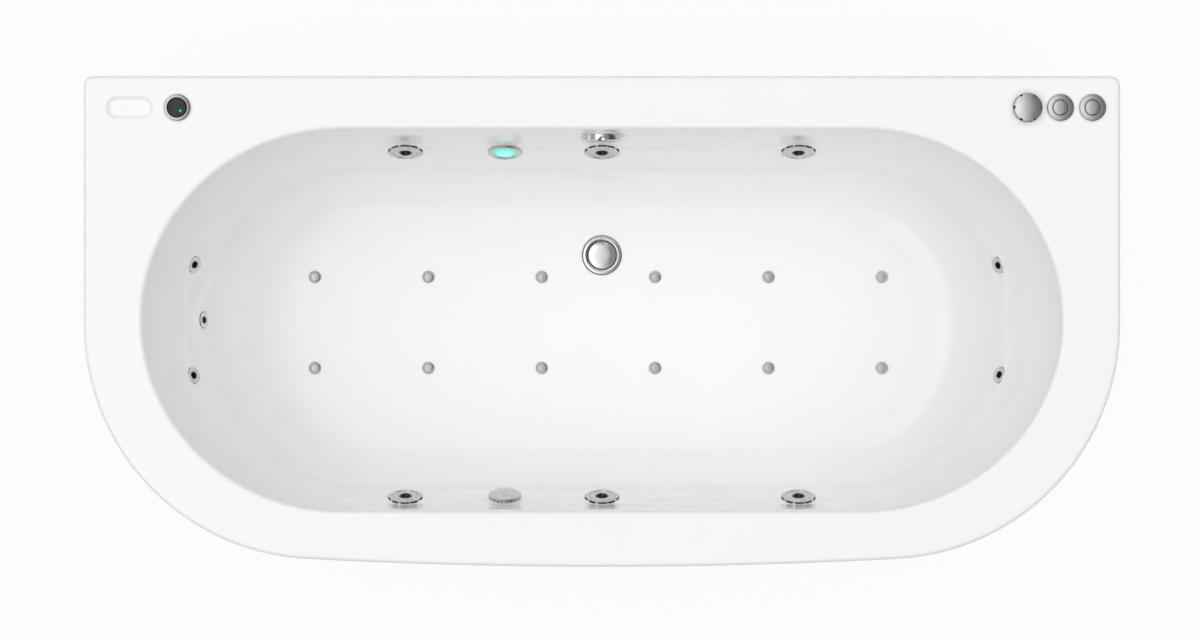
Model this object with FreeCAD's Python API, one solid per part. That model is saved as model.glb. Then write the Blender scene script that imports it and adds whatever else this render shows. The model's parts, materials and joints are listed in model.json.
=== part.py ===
import FreeCAD, Part
import math
import os

# Jetted bathtub, D shaped in plan, with its straight back against a wall.
# Millimetres. +X runs along the bath, +Y points at the wall, +Z is up.
# The origin is on the floor under the middle of the rim.

# Rim and shell
bath_length = 1700.0
bath_width = 805.0
rim_height = 580.0
shell_wall = 6.0
lip_depth = 40.0
back_corner_radius = 16.0
front_corner_radius = 385.0
front_bow_radius = 9000.0
outer_edge_radius = 10.0
well_edge_radius = 8.0
end_deck = 95.0
back_deck = 87.0
front_deck = 92.0

# Well: each wall leans in by its draft and turns into the floor with its toe radius
floor_height = 160.0
well_end_reach = 424.0
section_power = 0.8
back_draft = 8.5
back_toe = 100.0
front_draft = 4.0
front_toe = 95.0
left_draft = 14.5
left_toe = 140.0
right_draft = 13.0
right_toe = 105.0

# Clearances
running_gap = 0.3
thread_gap = 0.3
stem_gap = 0.05
plate_gap = 1.5

# Side jets: three in the back wall and three in the front wall
side_jet_end_gap = 94.0
side_jet_depth = 187.0
side_jet_tilt = 21.0
side_jet = {
    "pad_radius": 29.5, "seat_raise": -1.0, "nut_face": 12.0, "gasket": 1.0, "flange_radius": 27.0,
    "flange": 1.5, "barrel_radius": 19.0, "ring_radius": 28.5, "ring_face": 4.5, "ball_radius": 13.0,
    "ball_drop": 4.5, "mouth_radius": 10.5, "nozzle_bore": 6.0, "nut_radius": 28.0, "nut_height": 7.5,
    "port_radius": 14.0,
}

# End jets: three in the backrest and two at the foot
end_jet_spread = 94.0
end_jet = {
    "pad_radius": 17.0, "seat_raise": -0.4, "nut_face": 14.0, "gasket": 0.8, "flange_radius": 13.0,
    "flange": 1.2, "barrel_radius": 10.5, "ring_radius": 14.5, "ring_face": 3.4, "ball_radius": 7.5,
    "ball_drop": 1.6, "mouth_radius": 6.3, "nozzle_bore": 3.5, "nut_radius": 15.5, "nut_height": 7.0,
    "port_radius": 9.0,
}
backrest_jet_depth = 190.0
backrest_jet_tilt = 40.0
lumbar_jet_depth = 275.0
lumbar_jet_tilt = 24.5
foot_jet_depth = 260.0
foot_jet_tilt = 40.0
nozzle_sink = 0.4

# Light and suction cover, both half way between two side jets
fitting_shift = 2.0
light_bezel_radius = 27.0
light_bezel_height = 3.5
light_lens_radius = 19.0
light_lens_dome = 1.5
light_lens_steps = 6
light_housing_length = 46.0
suction_cover_radius = 27.5
suction_cover_height = 5.5
suction_slot = 2.4
suction_port_radius = 20.0
suction_body_length = 65.0
suction_port_drop = 50.0

# Floor air jets
air_jet_columns = 6
air_jet_left_gap = 35.0
air_jet_right_gap = 83.5
air_row_pitch = 159.6
air_jet_y = -1.9
air_cap_radius = 11.0
air_cap_height = 4.0
air_stem_radius = 6.0
air_stem_tail = 10.0
air_body_radius = 9.0
air_elbow_reach = 6.0

# Waste and overflow
drain_inset = 286.5
waste_flange_radius = 35.0
waste_flange_height = 4.0
waste_hole_radius = 25.0
waste_spigot_wall = 3.0
waste_spigot_length = 48.0
plug_radius = 24.0
plug_height = 5.0
plug_stem_radius = 4.0
plug_guide_wall = 4.0
plug_guide_height = 14.0
plug_travel = 12.0
trap_radius = 42.0
trap_bottom = 16.0
trap_entry_gap = 2.0
trap_collar_wall = 7.0
waste_outlet_radius = 26.0
waste_outlet_bore = 21.5
waste_outlet_gap = 8.0
waste_outlet_reach = 300.0
waste_socket_depth = 40.0
overflow_depth = 62.0
overflow_seat_back = 3.5
overflow_knob_radius = 33.7
overflow_knob_height = 11.0
overflow_skirt = 4.0
overflow_notch_radius = 6.3
overflow_notch_depth = 3.2
overflow_shaft_radius = 7.0
overflow_body_radius = 24.0
overflow_wall = 3.0
overflow_hub_wall = 5.0
overflow_hub_length = 22.0
overflow_tail = 10.0
overflow_branch = 12.0
overflow_pipe_radius = 15.0
overflow_pipe_inset = 18.0
overflow_rail_gap = 2.0
plug_cable_radius = 3.5
plug_cable_x = -70.0
plug_cable_bend = 16.0
cable_socket_wall = 3.0
cable_trap_rise = 14.0
cable_trap_reach = 10.0
cable_overflow_back = 6.0
cable_overflow_reach = 6.0

# Deck controls
control_inset = 52.0
light_button_inset = 154.0
air_knob_inset = 152.6
massage_button_inset = 99.0
airspa_button_inset = 46.4
control_hole_radius = 14.0
control_body_length = 36.0
control_nut_height = 6.0
push_stem_radius = 5.0
push_stem_depth = 12.0
bezel_radius = 22.0
bezel_height = 6.0
push_cap_radius = 12.5
push_cap_rise = 7.0
push_travel = 4.0
light_cap_radius = 16.0
light_cap_rise = 5.0
light_travel = 2.0
led_radius = 2.0
led_offset = 5.5
air_knob_radius = 23.4
air_knob_height = 14.0
air_knob_notches = 6
air_knob_notch_radius = 3.2
air_knob_stem_radius = 6.0
air_knob_stem_depth = 19.0
recess_inset = 75.5
recess_length = 76.0
recess_width = 36.0
recess_depth = 4.0
recess_edge_radius = 3.0

# Pipes
main_radius = 20.0
riser_radius = 18.5
main_drop = 148.0
main_inset = 57.5
main_end_inset = 79.0
main_bend = 300.0
stub_length = 6.0
air_line_radius = 8.0
air_nipple_radius = 6.0
air_line_drop = 250.0
air_line_inset = 84.5
air_line_end_inset = 105.0
air_line_bend = 270.0
suction_pipe_radius = 24.0
suction_bend = 60.0
suction_rail_gap = 73.0

# Pump, on the floor at the backrest end
pump_inset = 110.0
pump_axis_z = 100.0
pump_front_inset = 292.5
volute_radius = 68.0
volute_length = 70.0
volute_wall = 5.0
volute_lip = 8.0
discharge_rise = 24.0
motor_radius = 58.0
motor_length = 205.0
motor_fins = 24
motor_fin_height = 4.0
motor_fin_thickness = 3.0
motor_band = 26.0
fan_cover_length = 26.0
rotor_radius = 50.0
rotor_length = 20.0
rotor_shaft_radius = 8.0
rotor_plate = 4.0
rotor_hub_gap = 8.0
terminal_half = 34.0
terminal_start = 60.0
terminal_length = 90.0
terminal_rise = 24.0
pump_base_width = 120.0
pump_base_length = 150.0
pump_pad_height = 12.0
pump_pad_radius = 14.0
pump_pad_inset = 16.0
pump_rib = 20.0
pump_plate = 8.0

# Blower and air manifold
blower_inset = 105.0
blower_back_inset = 117.5
blower_radius = 72.0
blower_height = 170.0
blower_cap_height = 46.0
blower_cap_inset = 12.0
blower_foot = 8.0
blower_outlet_reach = 14.0
manifold_radius = 18.0
manifold_rail_gap = 10.0
manifold_branch_radius = 8.0
manifold_turn_inset = 240.0
manifold_bend = 60.0

# Control box and its lines
box_inset = 445.0
box_back_inset = 41.5
box_length = 140.0
box_width = 58.0
box_height = 92.0
line_radius = 3.0
line_inset = 24.5
line_swing = 36.0
line_drop = 12.0
line_tail = 26.0
gland_radius = 9.0
gland_length = 10.0

# Support
board_thickness = 12.0
board_inset = 8.0
tube_size = 30.0
tube_wall = 2.5
rail_back_inset = 214.5
rail_front_inset = 180.5
rail_end_inset = 275.0
foot_end_inset = 45.0
foot_middle_x = -130.0
foot_stud_radius = 6.0
foot_nut_height = 8.0
foot_nut_radius = 10.0
foot_pad_radius = 25.0
foot_pad_height = 14.0
foot_pad_boss = 6.0

# Front panel and brackets
panel_inset = 12.0
panel_wall = 4.0
panel_top_gap = 4.0
panel_back_gap = 4.0
clip_width = 40.0
clip_drop = 50.0
clip_reach = 34.0
bracket_steel = 3.0
wall_bracket_inset = 330.0
wall_bracket_width = 60.0
wall_bracket_drop = 44.0
wall_bracket_reach = 36.0
wall_hole_radius = 3.5
wall_hole_pitch = 36.0

# Worked out from the sizes above
half_length = bath_length / 2.0
half_width = bath_width / 2.0
basin_depth = rim_height - floor_height
floor_z = floor_height
shell_bottom = floor_z - shell_wall
deck_under = rim_height - shell_wall
well_mid_y = (front_deck - back_deck) / 2.0
half_straight = half_length - well_end_reach
side_jet_pitch = half_straight - side_jet_end_gap
fitting_x = fitting_shift - side_jet_pitch / 2.0
drain_y = half_width - drain_inset
overflow_pipe_y = half_width - overflow_pipe_inset
control_y = half_width - control_inset
light_button_x = light_button_inset - half_length
air_knob_x = half_length - air_knob_inset
massage_button_x = half_length - massage_button_inset
airspa_button_x = half_length - airspa_button_inset
recess_x = recess_inset - half_length
main_z = rim_height - main_drop
main_reach = half_width - main_inset
main_end_x = half_length - main_end_inset
main_bend_x = main_end_x - main_bend
main_bend_reach = main_reach - main_bend
air_line_z = rim_height - air_line_drop
air_line_reach = half_width - air_line_inset
air_line_end = half_length - air_line_end_inset
air_bend_x = air_line_end - air_line_bend
air_bend_reach = air_line_reach - air_line_bend
pump_x = pump_inset - half_length
pump_inlet_y = pump_front_inset - half_width
blower_x = half_length - blower_inset
blower_y = half_width - blower_back_inset
manifold_turn_x = half_length - manifold_turn_inset
box_x = box_inset - half_length
box_y = half_width - box_back_inset
line_y = half_width - line_inset
rail_back_y = half_width - rail_back_inset
rail_front_y = rail_front_inset - half_width
rail_reach = half_length - rail_end_inset
foot_columns = (foot_end_inset - rail_reach, foot_middle_x, rail_reach - foot_end_inset)
wall_bracket_x = half_length - wall_bracket_inset
board_bottom = shell_bottom - board_thickness
rail_bottom = board_bottom - tube_size
manifold_z = rail_bottom - manifold_radius - manifold_rail_gap
overflow_entry_z = rail_bottom - overflow_pipe_radius - overflow_rail_gap
trap_height = overflow_entry_z - overflow_pipe_radius - trap_entry_gap - trap_bottom
waste_outlet_z = overflow_entry_z - overflow_pipe_radius - waste_outlet_radius - waste_outlet_gap
stub_foot = main_z - main_radius - stub_length
spigot_radius = waste_hole_radius + waste_spigot_wall
trap_collar_radius = spigot_radius + trap_collar_wall
plug_cable_y = overflow_pipe_y - cable_overflow_back
plug_cable_z = trap_bottom + cable_trap_rise
line_z = deck_under - line_drop
blower_outlet_x = blower_x - blower_radius - blower_outlet_reach
up = FreeCAD.Vector(0, 0, 1)
origin = FreeCAD.Vector(0, 0, 0)


def vec(x, y, z):
    return FreeCAD.Vector(x, y, z)


def flat_z(point, z):
    return vec(point.x, point.y, z)


def fused(shapes):
    """One solid from several that meet."""
    return shapes[0].multiFuse(shapes[1:]).removeSplitter()


def group(shapes):
    """Separate solids kept together in one node."""
    return Part.makeCompound(shapes)


def placed(shape, base, axis):
    """Stand a shape drawn along +Z on a base point, along an axis."""
    shape.Placement = FreeCAD.Placement(base, FreeCAD.Rotation(up, axis))
    return shape


def rod(base, axis, radius, start, end):
    """A round bar along an axis, from one distance to another."""
    return Part.makeCylinder(radius, end - start, base + axis * start, axis)


def washer(base, axis, outer, inner, start, end):
    return rod(base, axis, outer, start, end).cut(rod(base, axis, inner, start - 1, end + 1))


def turned(profile, base, axis):
    """Revolve a closed outline of (radius, height) points about an axis."""
    points = [vec(radius, 0, height) for radius, height in profile]
    face = Part.Face(Part.makePolygon(points + points[:1]))
    return placed(face.revolve(origin, up, 360), base, axis)


def hex_nut(base, axis, across, bore, start, end):
    corners = [vec(across * math.cos(math.radians(60 * i)), across * math.sin(math.radians(60 * i)), start)
               for i in range(7)]
    prism = Part.Face(Part.makePolygon(corners)).extrude(vec(0, 0, end - start))
    return placed(prism, base, axis).cut(rod(base, axis, bore, start - 1, end + 1))


def block(low, high):
    size = high.sub(low)
    return Part.makeBox(size.x, size.y, size.z, low)


def rounded_path(points, bend):
    """Straight runs joined by tangent arcs of one radius."""
    edges = []
    last = points[0]
    for before, corner, after in zip(points, points[1:], points[2:]):
        back = (before - corner).normalize()
        ahead = (after - corner).normalize()
        half_turn = (math.pi - back.getAngle(ahead)) / 2.0
        reach = bend * math.tan(half_turn)
        start = corner + back * reach
        end = corner + ahead * reach
        middle = (back + ahead).normalize()
        arc_mid = corner + middle * (bend / math.cos(half_turn) - bend)
        edges.append(Part.LineSegment(last, start).toShape())
        edges.append(Part.Arc(start, arc_mid, end).toShape())
        last = end
    edges.append(Part.LineSegment(last, points[-1]).toShape())
    return Part.Wire(edges)


def pipe_run(points, radius, bend):
    """A round pipe along straight runs and bends."""
    section = Part.Wire(Part.makeCircle(radius, points[0], points[1] - points[0]))
    return rounded_path(points, bend).makePipeShell([section], True, False)


def outline(inset):
    """The D-shaped rim outline, drawn in by an inset."""
    half = half_length
    back = half_width
    corner = max(back_corner_radius - inset, 0.5)
    corner_x = half - inset - corner
    corner_y = back - inset - corner
    bow_y = -back + front_bow_radius
    turn_x = half - front_corner_radius
    bow_to_turn = front_bow_radius - front_corner_radius
    turn_y = bow_y - math.sqrt(bow_to_turn ** 2 - turn_x ** 2)
    bow = front_bow_radius - inset
    turn = front_corner_radius - inset
    lean = math.asin(turn_x / bow_to_turn)
    join = vec(bow * math.sin(lean), bow_y - bow * math.cos(lean), 0)
    swing = (math.pi / 2.0 - lean) / 2.0
    diagonal = math.sqrt(0.5) * corner

    def mirrored(point):
        return vec(-point.x, point.y, point.z)

    back_end = vec(corner_x, corner_y + corner, 0)
    back_mid = vec(corner_x + diagonal, corner_y + diagonal, 0)
    side_start = vec(corner_x + corner, corner_y, 0)
    side_end = vec(turn_x + turn, turn_y, 0)
    turn_mid = vec(turn_x + turn * math.cos(swing), turn_y - turn * math.sin(swing), 0)
    bow_mid = vec(0, bow_y - bow, 0)
    edges = [
        Part.LineSegment(mirrored(back_end), back_end),
        Part.Arc(back_end, back_mid, side_start),
        Part.LineSegment(side_start, side_end),
        Part.Arc(side_end, turn_mid, join),
        Part.Arc(join, bow_mid, mirrored(join)),
        Part.Arc(mirrored(join), mirrored(turn_mid), mirrored(side_end)),
        Part.LineSegment(mirrored(side_end), mirrored(side_start)),
        Part.Arc(mirrored(side_start), mirrored(back_mid), mirrored(back_end)),
    ]
    return Part.Wire([edge.toShape() for edge in edges])


def outline_prism(inset, bottom, top):
    prism = Part.Face(outline(inset)).extrude(vec(0, 0, top - bottom))
    prism.translate(vec(0, 0, bottom))
    return prism


def wall_offset(depth, draft, toe):
    """How far a wall has come in at a depth below the deck: straight, then round into the floor."""
    lean = math.radians(draft)
    turn_depth = basin_depth - toe * (1.0 - math.sin(lean))
    if depth <= turn_depth:
        return depth * math.tan(lean)
    toe_centre = turn_depth * math.tan(lean) + toe * math.cos(lean)
    above_floor = basin_depth - depth
    return toe_centre - math.sqrt(above_floor * (2.0 * toe - above_floor))


def well_reach(depth, grow=0.0):
    """Left, right, front and back of the well's level section."""
    left = -half_length + end_deck + wall_offset(depth, left_draft, left_toe) - grow
    right = half_length - end_deck - wall_offset(depth, right_draft, right_toe) + grow
    front = -half_width + front_deck + wall_offset(depth, front_draft, front_toe) - grow
    back = half_width - back_deck - wall_offset(depth, back_draft, back_toe) + grow
    return left, right, front, back


def quarter(start, corner, end):
    """A quarter ellipse inside a corner."""
    curve = Part.BezierCurve()
    curve.setPoles([start, corner, end])
    curve.setWeight(2, math.sqrt(0.5))
    return curve.toShape()


def well_section(depth, z, grow=0.0):
    """Two straight sides and four quarter ellipses."""
    left, right, front, back = well_reach(depth, grow)
    near_left = vec(left, well_mid_y, z)
    near_right = vec(right, well_mid_y, z)
    back_left = vec(-half_straight, back, z)
    back_right = vec(half_straight, back, z)
    front_left = vec(-half_straight, front, z)
    front_right = vec(half_straight, front, z)
    edges = [
        Part.LineSegment(back_left, back_right).toShape(),
        quarter(back_right, vec(right, back, z), near_right),
        quarter(near_right, vec(right, front, z), front_right),
        Part.LineSegment(front_right, front_left).toShape(),
        quarter(front_left, vec(left, front, z), near_left),
        quarter(near_left, vec(left, back, z), back_left),
    ]
    return Part.Wire(edges)


def well_solid(grow, floor, first_depth):
    """The well as a solid: level sections that close in towards the floor."""
    angles = [1, 3, 6] + list(range(10, 91, 10))
    depths = [basin_depth * math.sin(math.radians(angle)) ** section_power for angle in angles]
    stretch = (rim_height - floor) / basin_depth
    sections = [well_section(first_depth, rim_height - first_depth, grow)]
    for depth in depths:
        sections.append(well_section(depth, rim_height - depth * stretch, grow))
    return Part.makeLoft(sections, True, False)


def side_seat(x, depth, tilt, size, at_back):
    """Seat point and axis of a fitting in the back or front wall; the axis points into the well."""
    left, right, front, back = well_reach(depth)
    inward = -1.0 if at_back else 1.0
    axis = vec(0, inward * math.cos(math.radians(tilt)), math.sin(math.radians(tilt)))
    wall = vec(x, back if at_back else front, rim_height - depth)
    return wall + axis * size["seat_raise"], axis


def end_seat(y, depth, tilt, size, at_left):
    """Seat point and axis of a fitting in one of the rounded ends."""
    left, right, front, back = well_reach(depth)
    across = y - well_mid_y
    side_reach = back - well_mid_y if across > 0 else well_mid_y - front
    half_end = -half_straight - left if at_left else right - half_straight
    along = half_end * math.sqrt(1.0 - (across / side_reach) ** 2)
    outward = -1.0 if at_left else 1.0
    plan = vec(-outward * along / half_end ** 2, -across / side_reach ** 2, 0).normalize()
    axis = plan * math.cos(math.radians(tilt)) + up * math.sin(math.radians(tilt))
    wall = vec(outward * (half_straight + along), y, rim_height - depth)
    return wall + axis * size["seat_raise"], axis


def side_jet_seats():
    """Name, seat and axis of each side jet."""
    seats = []
    for wall, at_back in (("back", True), ("front", False)):
        for place, column in (("left", -1), ("middle", 0), ("right", 1)):
            seat = side_seat(column * side_jet_pitch, side_jet_depth, side_jet_tilt, side_jet, at_back)
            seats.append((wall + "_" + place,) + seat)
    return seats


def end_jet_seats():
    """Name, seat and axis of each end jet."""
    outer = (("back", well_mid_y + end_jet_spread), ("front", well_mid_y - end_jet_spread))
    seats = []
    for name, y in outer:
        seat = end_seat(y, backrest_jet_depth, backrest_jet_tilt, end_jet, True)
        seats.append(("backrest_" + name,) + seat)
    seats.append(("lumbar",) + end_seat(well_mid_y, lumbar_jet_depth, lumbar_jet_tilt, end_jet, True))
    for name, y in outer:
        seats.append(("foot_" + name,) + end_seat(y, foot_jet_depth, foot_jet_tilt, end_jet, False))
    return seats


def light_seat():
    return side_seat(fitting_x, side_jet_depth, side_jet_tilt, side_jet, True)


def suction_seat():
    return side_seat(fitting_x, side_jet_depth, side_jet_tilt, side_jet, False)


def overflow_seat():
    left, right, front, back = well_reach(overflow_depth)
    return vec(0, back + overflow_seat_back, rim_height - overflow_depth), vec(0, -1, 0)


def air_jet_row():
    """X of each column of floor air jets, spread over the flat of the floor."""
    left, right, front, back = well_reach(basin_depth)
    first = left + air_jet_left_gap
    pitch = (right - air_jet_right_gap - first) / (air_jet_columns - 1)
    return [first + column * pitch for column in range(air_jet_columns)]


def air_jet_places():
    """Where the floor air jets stand."""
    return [vec(x, air_jet_y + row * air_row_pitch, floor_z) for x in air_jet_row() for row in (-0.5, 0.5)]


def deck_points():
    return [vec(x, control_y, rim_height)
            for x in (light_button_x, air_knob_x, massage_button_x, airspa_button_x)]


def main_line_reach(seat, axis):
    """Distance back along a jet's axis to the line of the pressure main."""
    step = 0.5
    distance = 0.0
    while True:
        point = seat - axis * distance
        along = max(abs(point.x) - main_bend_x, 0.0)
        across = max(abs(point.y - well_mid_y) - main_bend_reach, 0.0)
        if math.hypot(along, across) >= main_bend:
            return distance
        distance += step


def pill(length, width, bottom, top):
    """An upright block with half-round ends."""
    radius = width / 2.0
    half = length / 2.0 - radius
    middle = block(vec(-half, -radius, bottom), vec(half, radius, top))
    ends = [rod(vec(side * half, 0, bottom), up, radius, 0, top - bottom) for side in (-1, 1)]
    return fused([middle] + ends)


def bath_shell():
    """Deck with its lip, the well, and a flat seat with a bore for each fitting."""
    deck = outline_prism(0, rim_height - lip_depth, rim_height)
    top_edges = [edge for edge in deck.Edges if edge.BoundBox.ZMin > rim_height - 0.01]
    deck = deck.makeFillet(outer_edge_radius, top_edges)
    deck = deck.cut(outline_prism(shell_wall, rim_height - lip_depth - 1, deck_under))
    deck_mid = shell_wall / 2.0
    shell = deck.fuse(well_solid(shell_wall, shell_bottom, deck_mid))
    shell = shell.cut(well_solid(0.0, floor_z, -2.0 * shell_wall))
    left, right, front, back = well_reach(0.0)
    rim_edges = [edge for edge in shell.Edges
                 if edge.BoundBox.ZMin > rim_height - 0.01 and edge.BoundBox.YMax < back + 1
                 and edge.BoundBox.YMin > front - 1 and edge.BoundBox.XMin > left - 1
                 and edge.BoundBox.XMax < right + 1]
    shell = shell.makeFillet(well_edge_radius, rim_edges)

    seats = [(seat, axis, side_jet) for name, seat, axis in side_jet_seats()]
    seats += [(seat, axis, end_jet) for name, seat, axis in end_jet_seats()]
    seats += [light_seat() + (side_jet,), suction_seat() + (side_jet,)]
    pads = []
    cuts = []
    for seat, axis, size in seats:
        pads.append(rod(seat, axis, size["pad_radius"], -size["nut_face"], 0))
        cuts.append(rod(seat, axis, size["pad_radius"] + 0.5, 0, size["pad_radius"]))
        cuts.append(rod(seat, axis, size["nut_radius"] + 2.0, -3.0 * size["nut_face"], -size["nut_face"]))
        cuts.append(rod(seat, axis, size["barrel_radius"] + thread_gap, -size["pad_radius"], 1))
    seat, axis = overflow_seat()
    overflow_pad = overflow_knob_radius + 2.0
    pads.append(rod(seat, axis, overflow_pad, -shell_wall, 0))
    cuts.append(rod(seat, axis, overflow_pad - 0.8, 0, overflow_knob_radius))
    cuts.append(rod(seat, axis, overflow_pad - 0.8, -3.0 * shell_wall, -shell_wall))
    cuts.append(rod(seat, axis, overflow_body_radius - overflow_wall, -2.0 * shell_wall, 1))
    for place in air_jet_places():
        cuts.append(rod(place, up, air_stem_radius + thread_gap, -3.0 * shell_wall, shell_wall))
    drain = vec(0, drain_y, floor_z)
    cuts.append(rod(drain, up, spigot_radius + thread_gap, -2.0 * shell_wall, shell_wall))
    for point in deck_points():
        cuts.append(rod(point, up, control_hole_radius + thread_gap, -2.0 * shell_wall, 1))

    boss = pill(recess_length + 2.0 * shell_wall, recess_width + 2.0 * shell_wall,
                deck_under - recess_depth, rim_height - recess_depth)
    boss.translate(vec(recess_x, control_y, 0))
    pads.append(boss)
    pocket = pill(recess_length, recess_width, rim_height - recess_depth, rim_height + recess_depth)
    bottom_edges = [edge for edge in pocket.Edges if edge.BoundBox.ZMax < rim_height - recess_depth + 0.01]
    pocket = pocket.makeFillet(recess_edge_radius, bottom_edges)
    pocket.translate(vec(recess_x, control_y, 0))
    cuts.append(pocket)
    return shell.multiFuse(pads).cut(cuts)


def jet_gasket(seat, axis, size):
    return washer(seat, axis, size["flange_radius"], size["barrel_radius"] + thread_gap, 0, size["gasket"])


def jet_nut(seat, axis, size):
    face = -size["nut_face"]
    return hex_nut(seat, axis, size["nut_radius"], size["barrel_radius"] + thread_gap,
                   face - size["nut_height"], face)


def ball_socket(seat, axis, size):
    """The round hollow that the nozzle ball turns in."""
    return Part.makeSphere(size["ball_radius"] + running_gap, seat - axis * size["ball_drop"])


def jet_body(seat, axis, size, air_port):
    """Flange, barrel back to the line of the main, and an upright port under it."""
    top = size["gasket"] + size["flange"]
    reach = main_line_reach(seat, axis)
    port = seat - axis * reach
    pieces = [
        rod(seat, axis, size["flange_radius"], size["gasket"], top),
        rod(seat, axis, size["barrel_radius"], -reach, top),
        Part.makeSphere(size["barrel_radius"], port),
        rod(port, up, size["port_radius"], 0, stub_foot - port.z),
    ]
    if air_port:
        nipple = seat - axis * air_nipple_distance(seat, axis)
        foot = flat_z(nipple, nipple_foot())
        pieces.append(rod(foot, up, air_nipple_radius, 0, nipple.z - foot.z))
    body = fused(pieces)
    body = body.cut(ball_socket(seat, axis, size))
    throat = size["ball_radius"] - 3.0
    return body.cut(rod(seat, axis, throat, -reach, 0))


def air_nipple_distance(seat, axis):
    """Distance back along a side jet's axis to the line of the air pipe."""
    return (air_line_reach - abs(seat.y - well_mid_y)) / math.cos(math.radians(side_jet_tilt))


def nipple_foot():
    return air_line_z + air_line_radius + stub_length


def jet_ring(seat, axis, size):
    """Face ring with a skirt over the flange; its mouth holds the ball."""
    skirt_foot = size["gasket"] * 0.5
    under = size["gasket"] + size["flange"] + running_gap
    skirt_inner = size["flange_radius"] + running_gap
    face = size["ring_face"]
    edge = 1.6
    mouth = size["mouth_radius"]
    profile = [
        (mouth, under), (skirt_inner, under), (skirt_inner, skirt_foot), (size["ring_radius"], skirt_foot),
        (size["ring_radius"], face - edge), (size["ring_radius"] - edge, face), (mouth + edge, face),
        (mouth, face - edge * 0.5),
    ]
    return turned(profile, seat, axis).cut(ball_socket(seat, axis, size))


def jet_nozzle(seat, axis, size):
    """Ball with a flat front and back and a flared bore through it."""
    radius = size["ball_radius"]
    bore = size["nozzle_bore"]
    front = size["ring_face"] - nozzle_sink + size["ball_drop"]
    rear = radius * 0.75
    flare_start = vec(bore, 0, front * 0.5)
    flare_end = vec(bore * 1.35, 0, front)
    ball_front = vec(math.sqrt(radius ** 2 - front ** 2), 0, front)
    ball_rear = vec(math.sqrt(radius ** 2 - rear ** 2), 0, -rear)
    bore_rear = vec(bore, 0, -rear)
    edges = [
        Part.LineSegment(bore_rear, ball_rear), Part.Arc(ball_rear, vec(radius, 0, 0), ball_front),
        Part.LineSegment(ball_front, flare_end), Part.LineSegment(flare_end, flare_start),
        Part.LineSegment(flare_start, bore_rear),
    ]
    face = Part.Face(Part.Wire([edge.toShape() for edge in edges]))
    return placed(face.revolve(origin, up, 360), seat - axis * size["ball_drop"], axis)


def small_fitting_spigot(seat, axis, length, radius):
    """Flange and barrel of the light housing and the suction body."""
    top = side_jet["gasket"] + side_jet["flange"]
    flange = rod(seat, axis, side_jet["flange_radius"], side_jet["gasket"], top)
    return fused([flange, rod(seat, axis, radius, -length, top)])


def light_parts():
    seat, axis = light_seat()
    top = side_jet["gasket"] + side_jet["flange"]
    housing = small_fitting_spigot(seat, axis, light_housing_length, side_jet["barrel_radius"])
    housing = housing.cut(rod(seat, axis, light_lens_radius - 4.0, -light_housing_length + 6.0, top + 1))
    bezel = turned([
        (light_lens_radius + running_gap, top), (light_bezel_radius, top),
        (light_bezel_radius, top + light_bezel_height * 0.5),
        (light_bezel_radius - 3.0, top + light_bezel_height),
        (light_lens_radius + running_gap, top + light_bezel_height * 0.7)], seat, axis)
    rise = top + light_bezel_height * 0.6
    dome = []
    for step in range(light_lens_steps + 1):
        share = 1.0 - step / light_lens_steps
        dome.append((light_lens_radius * share, rise + light_lens_dome * (1.0 - share ** 2)))
    lens = turned([(0, top), (light_lens_radius, top)] + dome, seat, axis)
    return housing, bezel, lens


def suction_parts():
    """Cover disc with slots in its edge, and the body that turns down to the pipe."""
    seat, axis = suction_seat()
    top = side_jet["gasket"] + side_jet["flange"]
    face = top + suction_cover_height
    edge = 2.0
    cover = turned([(0, top), (suction_cover_radius, top), (suction_cover_radius, face - edge),
                    (suction_cover_radius - edge, face), (0, face + 0.8)], seat, axis)
    side = axis.cross(up).normalize()
    slots = []
    for turn in range(0, 360, 15):
        arm = FreeCAD.Rotation(axis, turn).multVec(side)
        slot = Part.makeBox(suction_slot, 8.0, suction_cover_height * 0.55,
                            vec(-suction_slot / 2.0, suction_cover_radius - 5.0, 0))
        frame = FreeCAD.Rotation(arm.cross(axis), arm, axis, "ZYX")
        slot.Placement = FreeCAD.Placement(seat + axis * (top + 1.5), frame)
        slots.append(slot)
    cover = cover.cut(slots)
    elbow = seat - axis * suction_body_length
    port_foot = flat_z(elbow, elbow.z - suction_port_drop)
    body = fused([
        small_fitting_spigot(seat, axis, suction_body_length, side_jet["barrel_radius"]),
        Part.makeSphere(suction_port_radius, elbow),
        rod(port_foot, up, suction_port_radius, 0, suction_port_drop),
        rod(port_foot, up, suction_pipe_radius, 0, suction_port_drop / 4.0),
    ])
    bore = side_jet["barrel_radius"] - 4.0
    body = body.cut(rod(seat, axis, bore, -suction_body_length, top + 1))
    return cover, body, port_foot


def suction_pipe(start):
    """From the suction body down to the floor and round to the pump inlet."""
    turn_y = pump_inlet_y - suction_bend
    swing_y = rail_front_y - suction_rail_gap
    points = [
        start, flat_z(start, pump_axis_z),
        vec(pump_x + turn_y - swing_y, swing_y, pump_axis_z),
        vec(pump_x, turn_y, pump_axis_z), vec(pump_x, pump_inlet_y, pump_axis_z),
    ]
    return pipe_run(points, suction_pipe_radius, suction_bend)


def quarter_bend(side, row, bend_x, bend_reach, z, bend, radius):
    """A quarter ring of pipe at one corner of a level loop."""
    centre = vec(side * bend_x, well_mid_y + row * bend_reach, z)
    ring = Part.makeTorus(bend, radius, centre, up, 0, 360, 90)
    ring.rotate(centre, up, {(1, 1): 0, (-1, 1): 90, (-1, -1): 180, (1, -1): 270}[side, row])
    return ring


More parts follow.
